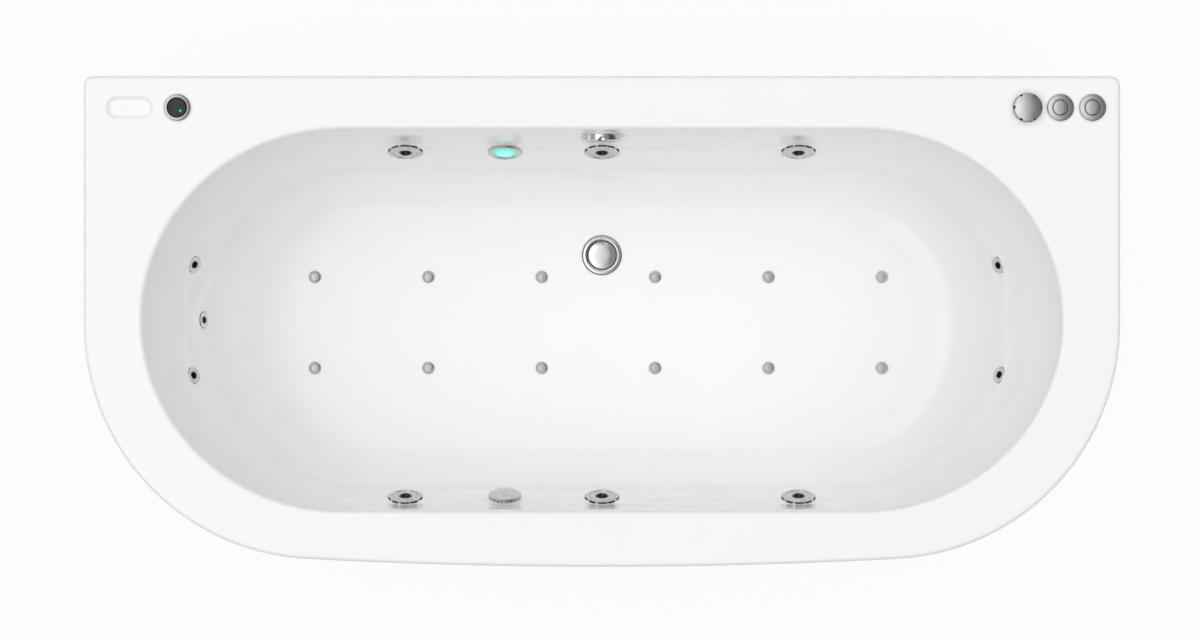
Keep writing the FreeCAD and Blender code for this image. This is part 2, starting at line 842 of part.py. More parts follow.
def ring_main():
    """Four straight runs joined by quarter bends."""
    pieces = []
    for side in (-1, 1):
        long_run = vec(-main_bend_x, well_mid_y + side * main_reach, main_z)
        pieces.append(rod(long_run, vec(1, 0, 0), main_radius, 0, 2.0 * main_bend_x))
        end_run = vec(side * main_end_x, well_mid_y - main_bend_reach, main_z)
        pieces.append(rod(end_run, vec(0, 1, 0), main_radius, 0, 2.0 * main_bend_reach))
        for row in (-1, 1):
            pieces.append(quarter_bend(side, row, main_bend_x, main_bend_reach, main_z, main_bend,
                                       main_radius))
    return pieces


def air_loop():
    """Two long runs and the run round the foot end."""
    start = -side_jet_pitch - 2.0 * air_line_radius
    end_run = vec(air_line_end, well_mid_y - air_bend_reach, air_line_z)
    pieces = [rod(end_run, vec(0, 1, 0), air_line_radius, 0, 2.0 * air_bend_reach)]
    for row in (-1, 1):
        base = vec(start, well_mid_y + row * air_line_reach, air_line_z)
        pieces.append(rod(base, vec(1, 0, 0), air_line_radius, 0, air_bend_x - start))
        pieces.append(quarter_bend(1, row, air_bend_x, air_bend_reach, air_line_z, air_line_bend,
                                   air_line_radius))
    return pieces


def pressure_pipes():
    """The ring main, a stub over each jet port and the riser from the pump."""
    pieces = ring_main()
    jets = [(seat, axis, side_jet) for name, seat, axis in side_jet_seats()]
    jets += [(seat, axis, end_jet) for name, seat, axis in end_jet_seats()]
    for seat, axis, size in jets:
        port = seat - axis * main_line_reach(seat, axis)
        pieces.append(rod(flat_z(port, stub_foot), up, size["port_radius"], 0, main_z - stub_foot))
    riser = discharge_point()
    pieces.append(rod(riser, up, riser_radius, 0, main_z - riser.z))
    return fused(pieces)


def discharge_point():
    """Where the pump's outlet ends, straight under the main."""
    y = pump_inlet_y + volute_length / 2.0
    across = max(abs(y - well_mid_y) - main_bend_reach, 0.0)
    x = -main_bend_x - math.sqrt(main_bend ** 2 - across ** 2)
    return vec(x, y, pump_axis_z + volute_radius + discharge_rise)


def air_pipes():
    """Air line to the side jets, with its branch to the air control on the deck."""
    pieces = air_loop()
    for name, seat, axis in side_jet_seats():
        nipple = seat - axis * air_nipple_distance(seat, axis)
        foot = flat_z(nipple, air_line_z)
        pieces.append(rod(foot, up, air_nipple_radius, 0, nipple_foot() - foot.z))
    valve = vec(air_knob_x, control_y, rim_height - control_body_length)
    centre = vec(air_bend_x, well_mid_y + air_bend_reach, air_line_z)
    outward = (flat_z(valve, air_line_z) - centre).normalize()
    points = [valve, flat_z(valve, air_line_z), centre + outward * air_line_bend]
    pieces.append(pipe_run(points, air_line_radius, 3.0 * air_line_radius))
    return fused(pieces)


def pump_parts():
    """Volute with its tangential outlet, finned motor, base and the rotor inside."""
    along = vec(0, 1, 0)
    inlet = vec(pump_x, pump_inlet_y, pump_axis_z)
    outlet = discharge_point()
    volute = fused([
        rod(inlet, along, volute_radius, volute_lip, volute_length),
        rod(inlet, along, suction_pipe_radius + 6.0, 0, volute_lip),
        rod(flat_z(outlet, pump_axis_z), up, main_radius + 4.0, 0, outlet.z - pump_axis_z),
    ])
    chamber_start = volute_lip + volute_wall
    chamber = rod(inlet, along, volute_radius - volute_wall, chamber_start, volute_length - volute_wall)
    eye = rod(inlet, along, suction_pipe_radius - 3.0, -1, chamber_start + 1)
    shaft_hole = rod(inlet, along, rotor_shaft_radius + running_gap, 0, volute_length + 1)
    throat = rod(flat_z(outlet, pump_axis_z), up, main_radius - 3.0, 0, outlet.z - pump_axis_z + 1)
    volute = volute.cut([chamber, eye, shaft_hole, throat])

    motor_foot = volute_length
    motor = rod(inlet, along, motor_radius - motor_fin_height, motor_foot, motor_foot + motor_length)
    fins = []
    for i in range(motor_fins):
        fin = Part.makeBox(motor_fin_thickness, motor_length - 2.0 * motor_band, motor_radius / 2.0,
                           vec(-motor_fin_thickness / 2.0, inlet.y + motor_foot + motor_band,
                               motor_radius / 2.0))
        fin.rotate(origin, along, 360.0 * i / motor_fins)
        fin.translate(vec(pump_x, 0, pump_axis_z))
        fins.append(fin)
    cover = rod(inlet, along, motor_radius, motor_foot + motor_length - motor_band,
                motor_foot + motor_length + fan_cover_length)
    terminal_y = inlet.y + motor_foot + terminal_start
    terminal = block(vec(pump_x - terminal_half, terminal_y, pump_axis_z + motor_radius / 2.0),
                     vec(pump_x + terminal_half, terminal_y + terminal_length,
                         pump_axis_z + motor_radius + terminal_rise))
    motor = fused([motor, cover, terminal] + fins)
    shaft_end = motor_foot + 2.0 * rotor_length
    motor = motor.cut(rod(inlet, along, rotor_shaft_radius + running_gap, motor_foot - 1, shaft_end))

    half_base = pump_base_width / 2.0
    base_start = inlet.y + motor_foot + motor_band
    base_end = base_start + pump_base_length
    base = block(vec(pump_x - half_base, base_start, pump_pad_height),
                 vec(pump_x + half_base, base_end, pump_axis_z - motor_radius * 0.6))
    lighten = block(vec(pump_x - pump_base_width, base_start + pump_rib, pump_pad_height + pump_plate),
                    vec(pump_x + pump_base_width, base_end - pump_rib, pump_axis_z))
    base = base.cut([lighten, rod(inlet, along, motor_radius + running_gap, 0, motor_foot + motor_length)])
    feet = []
    for side in (-1, 1):
        for y in (base_start + pump_pad_inset, base_end - pump_pad_inset):
            foot = vec(pump_x + side * (half_base - pump_pad_inset), y, 0)
            feet.append(rod(foot, up, pump_pad_radius, 0, pump_pad_height))
    base = fused([base] + feet)

    rotor_start = chamber_start + rotor_hub_gap
    rotor = fused([
        rod(inlet, along, rotor_radius, rotor_start, rotor_start + rotor_plate),
        rod(inlet, along, rotor_shaft_radius, rotor_start, motor_foot + rotor_length),
    ] + rotor_vanes(inlet, rotor_start + rotor_plate))
    return volute, motor, base, rotor


def rotor_vanes(inlet, start):
    """Six blades from the shaft out to the rim of the rotor plate."""
    root = rotor_shaft_radius - 1.0
    vanes = []
    for turn in range(0, 360, 60):
        vane = Part.makeBox(rotor_radius - root - 1.0, rotor_length - rotor_plate, rotor_plate,
                            vec(root, start - 0.5, -rotor_plate / 2.0))
        vane.rotate(origin, vec(0, 1, 0), turn)
        vane.translate(inlet)
        vanes.append(vane)
    return vanes


def blower_housing():
    """Upright blower with a ribbed cap, its outlet low at the left."""
    base = vec(blower_x, blower_y, 0)
    cap_foot = blower_height - blower_cap_height
    neck = blower_radius - blower_cap_inset
    body = turned([
        (0, 0), (neck, 0), (neck, blower_foot), (blower_radius, blower_foot),
        (blower_radius, cap_foot), (neck, cap_foot), (neck, blower_height - blower_foot),
        (neck - blower_foot, blower_height), (0, blower_height),
    ], base, up)
    outlet_length = blower_x - blower_outlet_x
    outlet = rod(flat_z(base, manifold_z), vec(-1, 0, 0), manifold_radius + 3.0, 0, outlet_length)
    ribs = []
    for turn in range(0, 360, 20):
        rib = Part.makeBox(blower_cap_inset, 4.0, blower_cap_height - blower_foot,
                           vec(neck - 2.0, -2.0, cap_foot))
        rib.rotate(origin, up, turn)
        rib.translate(base)
        ribs.append(rib)
    return fused([body, outlet] + ribs)


def air_manifold():
    """Pipe from the blower to a comb under the floor: one cross tube for each pair of air jets."""
    left = air_jet_row()[0] - 2.0 * manifold_radius
    points = [vec(blower_outlet_x, blower_y, manifold_z), vec(manifold_turn_x, blower_y, manifold_z),
              vec(manifold_turn_x, air_jet_y, manifold_z), vec(left, air_jet_y, manifold_z)]
    pieces = [pipe_run(points, manifold_radius, manifold_bend)]
    for place in air_jet_places():
        inward = 1.0 if place.y < air_jet_y else -1.0
        base = vec(place.x, place.y + inward * (air_body_radius + air_elbow_reach), manifold_z)
        length = abs(air_jet_y - base.y)
        pieces.append(rod(base, vec(0, inward, 0), manifold_branch_radius, 0, length))
    return fused(pieces)


def air_jet_parts():
    """Domed cap and stem above, elbow body with its lock flange below."""
    caps = []
    bodies = []
    for place in air_jet_places():
        cap = turned([(0, 0), (air_cap_radius, 0), (air_cap_radius, air_cap_height * 0.35),
                      (air_cap_radius * 0.82, air_cap_height * 0.8),
                      (air_cap_radius * 0.45, air_cap_height), (0, air_cap_height)], place, up)
        stem = rod(place, up, air_stem_radius, -shell_wall - air_stem_tail, 0)
        caps.append(fused([cap, stem]))
        low = manifold_z - air_body_radius
        inward = 1.0 if place.y < air_jet_y else -1.0
        spread = 1.9 * air_body_radius
        body = fused([
            rod(flat_z(place, low), up, air_body_radius, 0, shell_bottom - low),
            rod(flat_z(place, shell_bottom), up, spread, -5.0, 0),
            rod(flat_z(place, manifold_z), vec(0, inward, 0), manifold_branch_radius, 0,
                air_body_radius + air_elbow_reach),
        ])
        socket = rod(flat_z(place, shell_bottom), up, air_stem_radius + thread_gap,
                     -air_stem_tail - thread_gap, 1)
        bodies.append(body.cut(socket))
    return caps, bodies


def waste_parts():
    """Flange with its spigot and guide, plug on a stem, and the trap."""
    drain = vec(0, drain_y, floor_z)
    height = waste_flange_height
    flange = turned([
        (waste_hole_radius, -waste_spigot_length), (spigot_radius, -waste_spigot_length),
        (spigot_radius, 0), (waste_flange_radius, 0), (waste_flange_radius, height * 0.4),
        (waste_flange_radius - 2.0, height * 0.85), (waste_flange_radius - 5.0, height),
        (waste_hole_radius + 2.0, height * 0.7), (waste_hole_radius, 0),
    ], drain, up)
    guide_foot = -waste_spigot_length + 6.0
    guide = washer(drain, up, plug_stem_radius + plug_guide_wall, plug_stem_radius + 2.0 * stem_gap,
                   guide_foot, guide_foot + plug_guide_height)
    spokes = []
    for turn in (30, 150, 270):
        spoke = Part.makeBox(waste_hole_radius - plug_stem_radius - 1.5, waste_spigot_wall, 10.0,
                             vec(plug_stem_radius + 2.0, -waste_spigot_wall / 2.0, guide_foot + 2.0))
        spoke.rotate(origin, up, turn)
        spoke.translate(drain)
        spokes.append(spoke)
    flange = fused([flange, guide] + spokes)

    top = waste_flange_height * 0.7
    plug = turned([
        (0, top - plug_height), (plug_radius - 3.0, top - plug_height), (plug_radius, top - 1.0),
        (plug_radius - 0.8, top), (plug_radius * 0.5, top + 1.6), (0, top + 2.0),
    ], drain, up)
    stem_foot = -waste_spigot_length - plug_travel + 4.0
    plug = fused([plug, rod(drain, up, plug_stem_radius, stem_foot, top - plug_height + 1)])

    spigot_end = floor_z - waste_spigot_length
    trap_top = trap_bottom + trap_height
    axis_y = vec(0, 1, 0)
    foot = vec(0, drain_y, 0)
    pieces = [
        rod(foot, up, trap_radius, trap_bottom, trap_top),
        rod(foot, up, trap_collar_radius, trap_top - 1, shell_bottom),
        rod(vec(0, drain_y, waste_outlet_z), axis_y, waste_outlet_radius, 0, waste_outlet_reach - drain_y),
        rod(vec(0, drain_y, overflow_entry_z), axis_y, overflow_pipe_radius, 0,
            trap_collar_radius + overflow_branch),
        rod(vec(0, drain_y, plug_cable_z), vec(-1, 0, 0), plug_cable_radius + cable_socket_wall, 0,
            trap_radius + cable_trap_reach),
    ]
    trap = fused(pieces)
    trap = trap.cut([
        rod(foot, up, spigot_radius + thread_gap, spigot_end - 1.0, shell_bottom + 1),
        rod(foot, up, waste_hole_radius, trap_bottom + 5.0, spigot_end),
        rod(vec(0, waste_outlet_reach, waste_outlet_z), axis_y, waste_outlet_bore, -waste_socket_depth, 1),
        rod(vec(0, drain_y, waste_outlet_z), axis_y, waste_outlet_bore - waste_spigot_wall, 0,
            waste_outlet_reach - drain_y),
    ])
    return flange, plug, trap


def overflow_parts():
    """Chamber behind the wall, the round knob in front of it, the pipe and the plug cable."""
    seat, axis = overflow_seat()
    pad_face = -shell_wall
    back = axis * -1.0
    end = overflow_pipe_y + overflow_pipe_radius - 5.0 - seat.y
    chamber = fused([
        rod(seat, axis, overflow_knob_radius, pad_face - overflow_wall, pad_face),
        rod(seat, back, overflow_body_radius, -pad_face + 2.0, end),
        rod(seat, back, overflow_body_radius - overflow_wall - thread_gap, 0.0, -pad_face + 2.0),
        rod(vec(0, overflow_pipe_y, seat.z), vec(0, 0, -1), overflow_pipe_radius, 0,
            overflow_body_radius + overflow_tail),
        rod(vec(0, plug_cable_y, seat.z), vec(-1, 0, 0), plug_cable_radius + cable_socket_wall, 0,
            overflow_body_radius + cable_overflow_reach),
    ])
    hollow = overflow_body_radius - 2.0 * overflow_wall
    hub = rod(seat, back, overflow_shaft_radius + overflow_hub_wall, 0, overflow_hub_length)
    web_start = seat.y - pad_face + 2.0
    web = block(vec(-overflow_wall, web_start, seat.z - hollow - 1),
                vec(overflow_wall, web_start + 2.0 * shell_wall, seat.z + hollow + 1))
    chamber = chamber.cut(rod(seat, back, hollow, -1, end - 2.0 * overflow_wall))
    shaft_bore = rod(seat, back, overflow_shaft_radius + stem_gap, -1, overflow_hub_length + 1)
    chamber = fused([chamber, hub, web]).cut(shaft_bore)

    edge = 2.5
    front = overflow_knob_height + running_gap
    ceiling = front - 2.0 * edge
    skirt = overflow_knob_radius - overflow_skirt
    skirt_foot = running_gap + 2.0
    knob = turned([
        (0, ceiling), (skirt, ceiling), (skirt, skirt_foot), (overflow_knob_radius, skirt_foot),
        (overflow_knob_radius, front - edge), (overflow_knob_radius - edge, front), (0, front + 0.6),
    ], seat, axis)
    shaft = rod(seat, axis, overflow_shaft_radius, -overflow_hub_length + 2.0, ceiling + 1)
    notch = rod(seat + axis * front, up, overflow_notch_radius, overflow_knob_radius - overflow_notch_depth,
                overflow_knob_radius + 1)
    knob = fused([knob, shaft]).cut(notch)

    bend = 3.0 * overflow_pipe_radius
    pipe_top = vec(0, overflow_pipe_y, seat.z - overflow_body_radius - overflow_tail)
    entry = vec(0, drain_y + trap_collar_radius + overflow_branch, overflow_entry_z)
    pipe = pipe_run([pipe_top, flat_z(pipe_top, overflow_entry_z), entry], overflow_pipe_radius, bend)

    cable = pipe_run([
        vec(-overflow_body_radius - cable_overflow_reach, plug_cable_y, seat.z),
        vec(plug_cable_x, plug_cable_y, seat.z), vec(plug_cable_x, plug_cable_y, plug_cable_z),
        vec(plug_cable_x, drain_y, plug_cable_z),
        vec(-trap_radius - cable_trap_reach, drain_y, plug_cable_z)], plug_cable_radius, plug_cable_bend)
    return chamber, knob, pipe, cable


def control_body(point):
    """Threaded barrel through the deck with its nut under it."""
    nut = hex_nut(point, up, bezel_radius, control_hole_radius - 1.0,
                  -shell_wall - control_nut_height, -shell_wall)
    return fused([rod(point, up, control_hole_radius, -control_body_length, 0), nut])


def dished_bezel(point, cap_radius, height):
    """A ring that slopes down from its crest to the cap and to the deck."""
    bore = cap_radius + running_gap
    crest = bezel_radius - 4.0
    return turned([(bore, 0), (bezel_radius, 0), (bezel_radius, height * 0.35),
                   (bezel_radius - 1.2, height * 0.7), (crest, height), (bore, height * 0.6)], point, up)


def push_cap(point, radius, rise, travel):
    """A slightly domed cap on a stem that slides in the control body."""
    foot = travel + running_gap
    cap = turned([(0, foot), (radius, foot), (radius, rise - 1.0), (radius - 1.2, rise - 0.2),
                  (0, rise + 0.6)], point, up)
    stem = rod(point, up, push_stem_radius, -push_stem_depth, foot + 0.5)
    return fused([cap, stem])


def stem_socket(point, travel):
    return rod(point, up, push_stem_radius + stem_gap, -push_stem_depth - travel - 1.0, 1)


def deck_controls():
    """Bezels, bodies, the turning air knob and the three buttons."""
    light_point, knob_point, whirl_point, air_point = deck_points()
    bezels = [
        dished_bezel(light_point, light_cap_radius, bezel_height),
        dished_bezel(whirl_point, push_cap_radius, bezel_height),
        dished_bezel(air_point, push_cap_radius, bezel_height),
    ]
    knob_socket = rod(knob_point, up, air_knob_stem_radius + stem_gap, -air_knob_stem_depth - 1.0, 1)
    bodies = [
        control_body(light_point).cut(stem_socket(light_point, light_travel)),
        control_body(knob_point).cut(knob_socket),
        control_body(whirl_point).cut(stem_socket(whirl_point, push_travel)),
        control_body(air_point).cut(stem_socket(air_point, push_travel)),
    ]
    edge = 2.5
    knob = turned([(0, running_gap), (air_knob_radius, running_gap),
                   (air_knob_radius, air_knob_height - edge), (air_knob_radius - edge, air_knob_height),
                   (air_knob_radius - 2.0 * edge, air_knob_height), (0, air_knob_height - 1.2)],
                  knob_point, up)
    knob = fused([knob, rod(knob_point, up, air_knob_stem_radius, -air_knob_stem_depth, 1)])
    notches = []
    for i in range(air_knob_notches):
        angle = 2.0 * math.pi * i / air_knob_notches
        arm = vec(math.cos(angle), math.sin(angle), 0) * (air_knob_radius + 0.6)
        notches.append(rod(knob_point + arm, up, air_knob_notch_radius, 3.0, air_knob_height + 1))
    knob = knob.cut(notches)

    light_cap = push_cap(light_point, light_cap_radius, light_cap_rise, light_travel)
    led_base = light_point + vec(led_offset, -led_offset, 0)
    led_foot = light_cap_rise - 1.5
    led = rod(led_base, up, led_radius, led_foot, light_cap_rise + 0.6)
    light_cap = light_cap.cut(rod(led_base, up, led_radius, led_foot, light_cap_rise + 5))
    massage_cap = push_cap(whirl_point, push_cap_radius, push_cap_rise, push_travel)
    air_cap = push_cap(air_point, push_cap_radius, push_cap_rise, push_travel)
    return bezels, bodies, knob, light_cap, led, massage_cap, air_cap


def control_box():
    """Sealed box fixed under the deck, with a gland at each end and an inlet gland below."""
    low = vec(box_x - box_length / 2.0, box_y - box_width / 2.0, deck_under - box_height)
    high = vec(box_x + box_length / 2.0, box_y + box_width / 2.0, deck_under)
    box = block(low, high)
    upright = [edge for edge in box.Edges if edge.BoundBox.ZLength > box_height - 1]
    box = box.makeFillet(6.0, upright)
    gland_right = rod(vec(high.x, line_y, line_z), vec(1, 0, 0), gland_radius, 0, gland_length)
    gland_left = rod(vec(low.x, line_y, line_z), vec(-1, 0, 0), gland_radius, 0, gland_length)
    inlet = rod(vec(box_x, box_y, low.z), vec(0, 0, -1), gland_radius + 2.0, 0, gland_length + 4.0)
    return fused([box, gland_right, gland_left, inlet])


def control_lines():
    """Air tubes from the two deck buttons and the lead of the light button, clipped under the deck."""
    right_gland = box_x + box_length / 2.0 + gland_length
    left_gland = box_x - box_length / 2.0 - gland_length
    foot = rim_height - control_body_length
    lines = []
    for x, row in ((massage_button_x, 1), (airspa_button_x, -1)):
        y = line_y + row * (line_radius + 0.6)
        points = [vec(right_gland, y, line_z), vec(x - line_swing, y, line_z),
                  vec(x, control_y, foot - line_tail), vec(x, control_y, foot)]
        lines.append(pipe_run(points, line_radius, 2.0 * line_radius))
    points = [vec(left_gland, line_y, line_z), vec(light_button_x + line_swing, line_y, line_z),
              vec(light_button_x, control_y, foot - line_tail), vec(light_button_x, control_y, foot)]
    lines.append(pipe_run(points, line_radius, 2.0 * line_radius))
    return lines


def base_board():
    """Board under the floor with openings for the waste and the air jets."""
    edge = well_section(basin_depth, board_bottom, shell_wall - board_inset)
    board = Part.Face(edge).extrude(up * board_thickness)
    places = [(place, 2.0 * air_body_radius + plate_gap) for place in air_jet_places()]
    places.append((vec(0, drain_y, 0), trap_collar_radius + plate_gap))
    holes = [rod(flat_z(place, board_bottom), up, radius, -1, board_thickness + 1)
             for place, radius in places]
    return board.cut(holes)


def square_tube(low, high, along_x):
    """A hollow square tube along X or Y."""
    wall = vec(0, tube_wall, tube_wall) if along_x else vec(tube_wall, 0, tube_wall)
    past = vec(1, 0, 0) if along_x else vec(0, 1, 0)
    return block(low, high).cut(block(low + wall - past, high - wall + past))


def support_frame():
    """Two long rails and two cross rails that carry the board."""
    half = tube_size / 2.0
    tubes = []
    for y in (rail_back_y, rail_front_y):
        low = vec(-rail_reach, y - half, rail_bottom)
        tubes.append(square_tube(low, vec(rail_reach, y + half, board_bottom), True))
    holes = [rod(flat_z(place, rail_bottom), up, foot_stud_radius + thread_gap, -1, tube_size + 1)
             for place in foot_places()]
    rails = [tube.cut(holes) for tube in tubes]
    columns = air_jet_row()
    for x in ((columns[0] + columns[1]) / 2.0, (columns[-2] + columns[-1]) / 2.0):
        rails.append(square_tube(vec(x - half, rail_front_y + half, rail_bottom),
                                 vec(x + half, rail_back_y - half, board_bottom), False))
    return rails


def foot_places():
    return [vec(x, y, 0) for x in foot_columns for y in (rail_back_y, rail_front_y)]


def foot_parts():
    """Studs locked by two nuts each, and the pads that they stand on."""
    studs = []
    pads = []
    bore = foot_stud_radius - 1.0
    boss = foot_stud_radius + foot_pad_boss
    for place in foot_places():
        nuts = [
            hex_nut(flat_z(place, rail_bottom), up, foot_nut_radius, bore, -foot_nut_height, 0),
            hex_nut(flat_z(place, board_bottom), up, foot_nut_radius, bore, 0, foot_nut_height),
        ]
        stud = rod(place, up, foot_stud_radius, foot_pad_height, board_bottom + foot_nut_height + 4.0)
        studs.append(fused([stud] + nuts))
        pads.append(turned([
            (0, 0), (foot_pad_radius, 0), (foot_pad_radius, foot_pad_height * 0.35),
            (boss, foot_pad_height * 0.7), (boss, foot_pad_height), (0, foot_pad_height)], place, up))
    return studs, pads


def front_panel():
    """Bent panel that follows the rim from one back corner round the front to the other."""
    top = deck_under - panel_top_gap
    panel = outline_prism(panel_inset, 0, top).cut(outline_prism(panel_inset + panel_wall, -1, top + 1))
    keep = half_width - panel_inset - panel_wall - panel_back_gap
    far = bath_length
    return panel.cut(block(vec(-far, keep, -1), vec(far, bath_width, top + 1)))


def fixing_brackets():
    """Clips that hold the panel's top edge, and steel brackets that fix the bath to the wall."""
    inner = half_length - panel_inset - panel_wall
    brackets = []
    for side in (-1, 1):
        for y in (bath_width * 0.36, bath_width * 0.08):
            low_x = min(side * inner, side * (inner - clip_reach))
            drop_x = side * inner if side < 0 else side * inner - bracket_steel
            top = block(vec(low_x, y - clip_width / 2.0, deck_under - bracket_steel),
                        vec(low_x + clip_reach, y + clip_width / 2.0, deck_under))
            leg = block(vec(drop_x, y - clip_width / 2.0, deck_under - clip_drop),
                        vec(drop_x + bracket_steel, y + clip_width / 2.0, deck_under))
            brackets.append(fused([top, leg]))
    wall = half_width
    lip_inner = wall - shell_wall
    lip_foot = rim_height - lip_depth
    for x in (-wall_bracket_x, wall_bracket_x):
        left = x - wall_bracket_width / 2.0
        right = x + wall_bracket_width / 2.0
        shelf_top = lip_foot - plate_gap
        shelf_foot = shelf_top - bracket_steel
        leg_y = lip_inner - bracket_steel
        shelf_y = lip_inner - wall_bracket_reach
        pieces = [
            block(vec(left, shelf_y, deck_under - bracket_steel), vec(right, lip_inner, deck_under)),
            block(vec(left, leg_y, shelf_foot), vec(right, lip_inner, deck_under)),
            block(vec(left, leg_y, shelf_foot), vec(right, wall, shelf_top)),
            block(vec(left, wall - bracket_steel, shelf_top - wall_bracket_drop),
                  vec(right, wall, shelf_top)),
        ]
        hole_places = [vec(x + side * wall_hole_pitch / 2.0, wall, wall_hole_z()) for side in (-1, 1)]
        holes = [rod(place, vec(0, 1, 0), wall_hole_radius, -2.0 * bracket_steel, 1)
                 for place in hole_places]
        brackets.append(fused(pieces).cut(holes))
    return brackets


def wall_hole_z():
    return rim_height - lip_depth - plate_gap - wall_bracket_drop / 2.0 - bracket_steel


def fitting_gaskets():
    gaskets = [jet_gasket(seat, axis, side_jet) for name, seat, axis in side_jet_seats()]
    gaskets += [jet_gasket(seat, axis, end_jet) for name, seat, axis in end_jet_seats()]
    gaskets += [jet_gasket(seat, axis, side_jet) for seat, axis in (light_seat(), suction_seat())]
    return gaskets


def fitting_nuts():
    nuts = [jet_nut(seat, axis, side_jet) for name, seat, axis in side_jet_seats()]
    nuts += [jet_nut(seat, axis, end_jet) for name, seat, axis in end_jet_seats()]
    nuts += [jet_nut(seat, axis, side_jet) for seat, axis in (light_seat(), suction_seat())]
    return nuts


def all_nodes():
    """Every piece by name."""
    nodes = {"bath_shell": bath_shell()}
    bodies = [jet_body(seat, axis, side_jet, True) for name, seat, axis in side_jet_seats()]
    bodies += [jet_body(seat, axis, end_jet, False) for name, seat, axis in end_jet_seats()]
    nodes["jet_bodies"] = group(bodies)
    nodes["fitting_gaskets"] = group(fitting_gaskets())
    nodes["fitting_nuts"] = group(fitting_nuts())
    for name, seat, axis in side_jet_seats():
        nodes["jet_ring_" + name] = jet_ring(seat, axis, side_jet)
        nodes["jet_nozzle_" + name] = jet_nozzle(seat, axis, side_jet)
    small_rings = [jet_ring(seat, axis, end_jet) for name, seat, axis in end_jet_seats()]
    nodes["small_jet_rings"] = group(small_rings)
    for name, seat, axis in end_jet_seats():
        nodes["jet_nozzle_" + name] = jet_nozzle(seat, axis, end_jet)
    nodes["light_housing"], nodes["light_bezel"], nodes["light_lens"] = light_parts()
    nodes["suction_cover"], nodes["suction_body"], suction_start = suction_parts()
    nodes["suction_pipe"] = suction_pipe(suction_start)
    nodes["pressure_pipes"] = pressure_pipes()
    nodes["air_pipes"] = air_pipes()
    nodes["pump_volute"], nodes["pump_motor"], nodes["pump_base"], nodes["pump_rotor"] = pump_parts()
    nodes["blower_housing"] = blower_housing()
    nodes["air_manifold"] = air_manifold()
    caps, air_bodies = air_jet_parts()
    nodes["air_jet_caps"] = group(caps)
    nodes["air_jet_bodies"] = group(air_bodies)
    nodes["waste_flange"], nodes["waste_plug"], nodes["waste_trap"] = waste_parts()
    overflow = overflow_parts()
    nodes["overflow_body"], nodes["overflow_knob"], nodes["overflow_pipe"], nodes["plug_cable"] = overflow
    bezels, control_bodies, knob, light_cap, led, massage_cap, air_cap = deck_controls()
    nodes["deck_bezels"] = group(bezels)
    nodes["deck_control_bodies"] = group(control_bodies)
    nodes["air_control_knob"] = knob
    nodes["light_button"] = light_cap
    nodes["light_button_led"] = led
    nodes["massage_button"] = massage_cap
    nodes["airspa_button"] = air_cap
    nodes["control_box"] = control_box()
    nodes["control_lines"] = group(control_lines())
    nodes["base_board"] = base_board()
    nodes["support_frame"] = group(support_frame())
    studs, pads = foot_parts()
    nodes["foot_studs"] = group(studs)
    nodes["foot_pads"] = group(pads)
    nodes["front_panel"] = front_panel()
    nodes["fixing_brackets"] = group(fixing_brackets())
    return nodes


def main():
    os.makedirs("parts", exist_ok=True)
    for name, shape in all_nodes().items():
        shape.exportStep(os.path.join("parts", name + ".step"))
        print(name, len(shape.Solids), shape.isValid(), round(shape.Volume / 1000.0, 1))


if __name__ == "__main__":
    main()
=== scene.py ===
import bpy
import bmesh
import json
import math
import numpy as np
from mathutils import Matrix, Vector
from mathutils.geometry import delaunay_2d_cdt


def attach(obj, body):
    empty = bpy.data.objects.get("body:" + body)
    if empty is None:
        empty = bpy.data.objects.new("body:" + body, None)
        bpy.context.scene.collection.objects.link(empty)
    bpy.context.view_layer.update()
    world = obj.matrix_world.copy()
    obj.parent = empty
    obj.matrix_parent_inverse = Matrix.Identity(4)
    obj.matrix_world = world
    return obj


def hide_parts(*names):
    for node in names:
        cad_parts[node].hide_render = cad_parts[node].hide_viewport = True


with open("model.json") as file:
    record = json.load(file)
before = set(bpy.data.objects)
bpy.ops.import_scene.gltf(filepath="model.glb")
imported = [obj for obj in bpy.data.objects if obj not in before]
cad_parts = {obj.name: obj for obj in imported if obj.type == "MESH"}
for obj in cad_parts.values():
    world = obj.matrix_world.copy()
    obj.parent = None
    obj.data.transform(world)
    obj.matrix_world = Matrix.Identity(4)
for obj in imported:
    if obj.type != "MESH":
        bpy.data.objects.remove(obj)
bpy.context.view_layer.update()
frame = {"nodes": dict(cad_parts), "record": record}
nodes = frame["nodes"]
print("frame loaded:", len(nodes), "nodes")

# sizes are in millimetres, as on the drawing of the bath; meshes are put in metres
tub = {
    "length": 1700.0, "width": 805.0, "rim": 580.0, "wall": 6.0, "lip": 40.0,
    "backCorner": 16.0, "frontCorner": 385.0, "frontBow": 9000.0, "outerEdge": 13.5, "wellEdge": 8.0,
    "endDeck": 95.0, "backDeck": 87.0, "frontDeck": 92.0, "depth": 420.0, "straight": 852.0,
    "draft": {"left": 14.5, "right": 13.0, "front": 4.0, "back": 8.5},
    "toe": {"left": 140.0, "right": 105.0, "front": 95.0, "back": 100.0},
    "strip": 2.0, "wallRows": 78, "step": 6.2, "lipInside": 6.0, "backStrip": 14.0, "backRows": 48,
}
midY = (tub["frontDeck"] - tub["backDeck"]) / 2.0
wellMiddle = np.array([[0, midY]])
halfStraight = tub["straight"] / 2.0
floorZ = tub["rim"] - tub["depth"]
upward = (0, 0, 1)
toMetres = 0.001
seam = {"merge": 3e-6, "sliver": 1e-6, "sharp": 38.0, "shellSharp": 50.0, "knobSharp": 30.0}


# grids and profiles

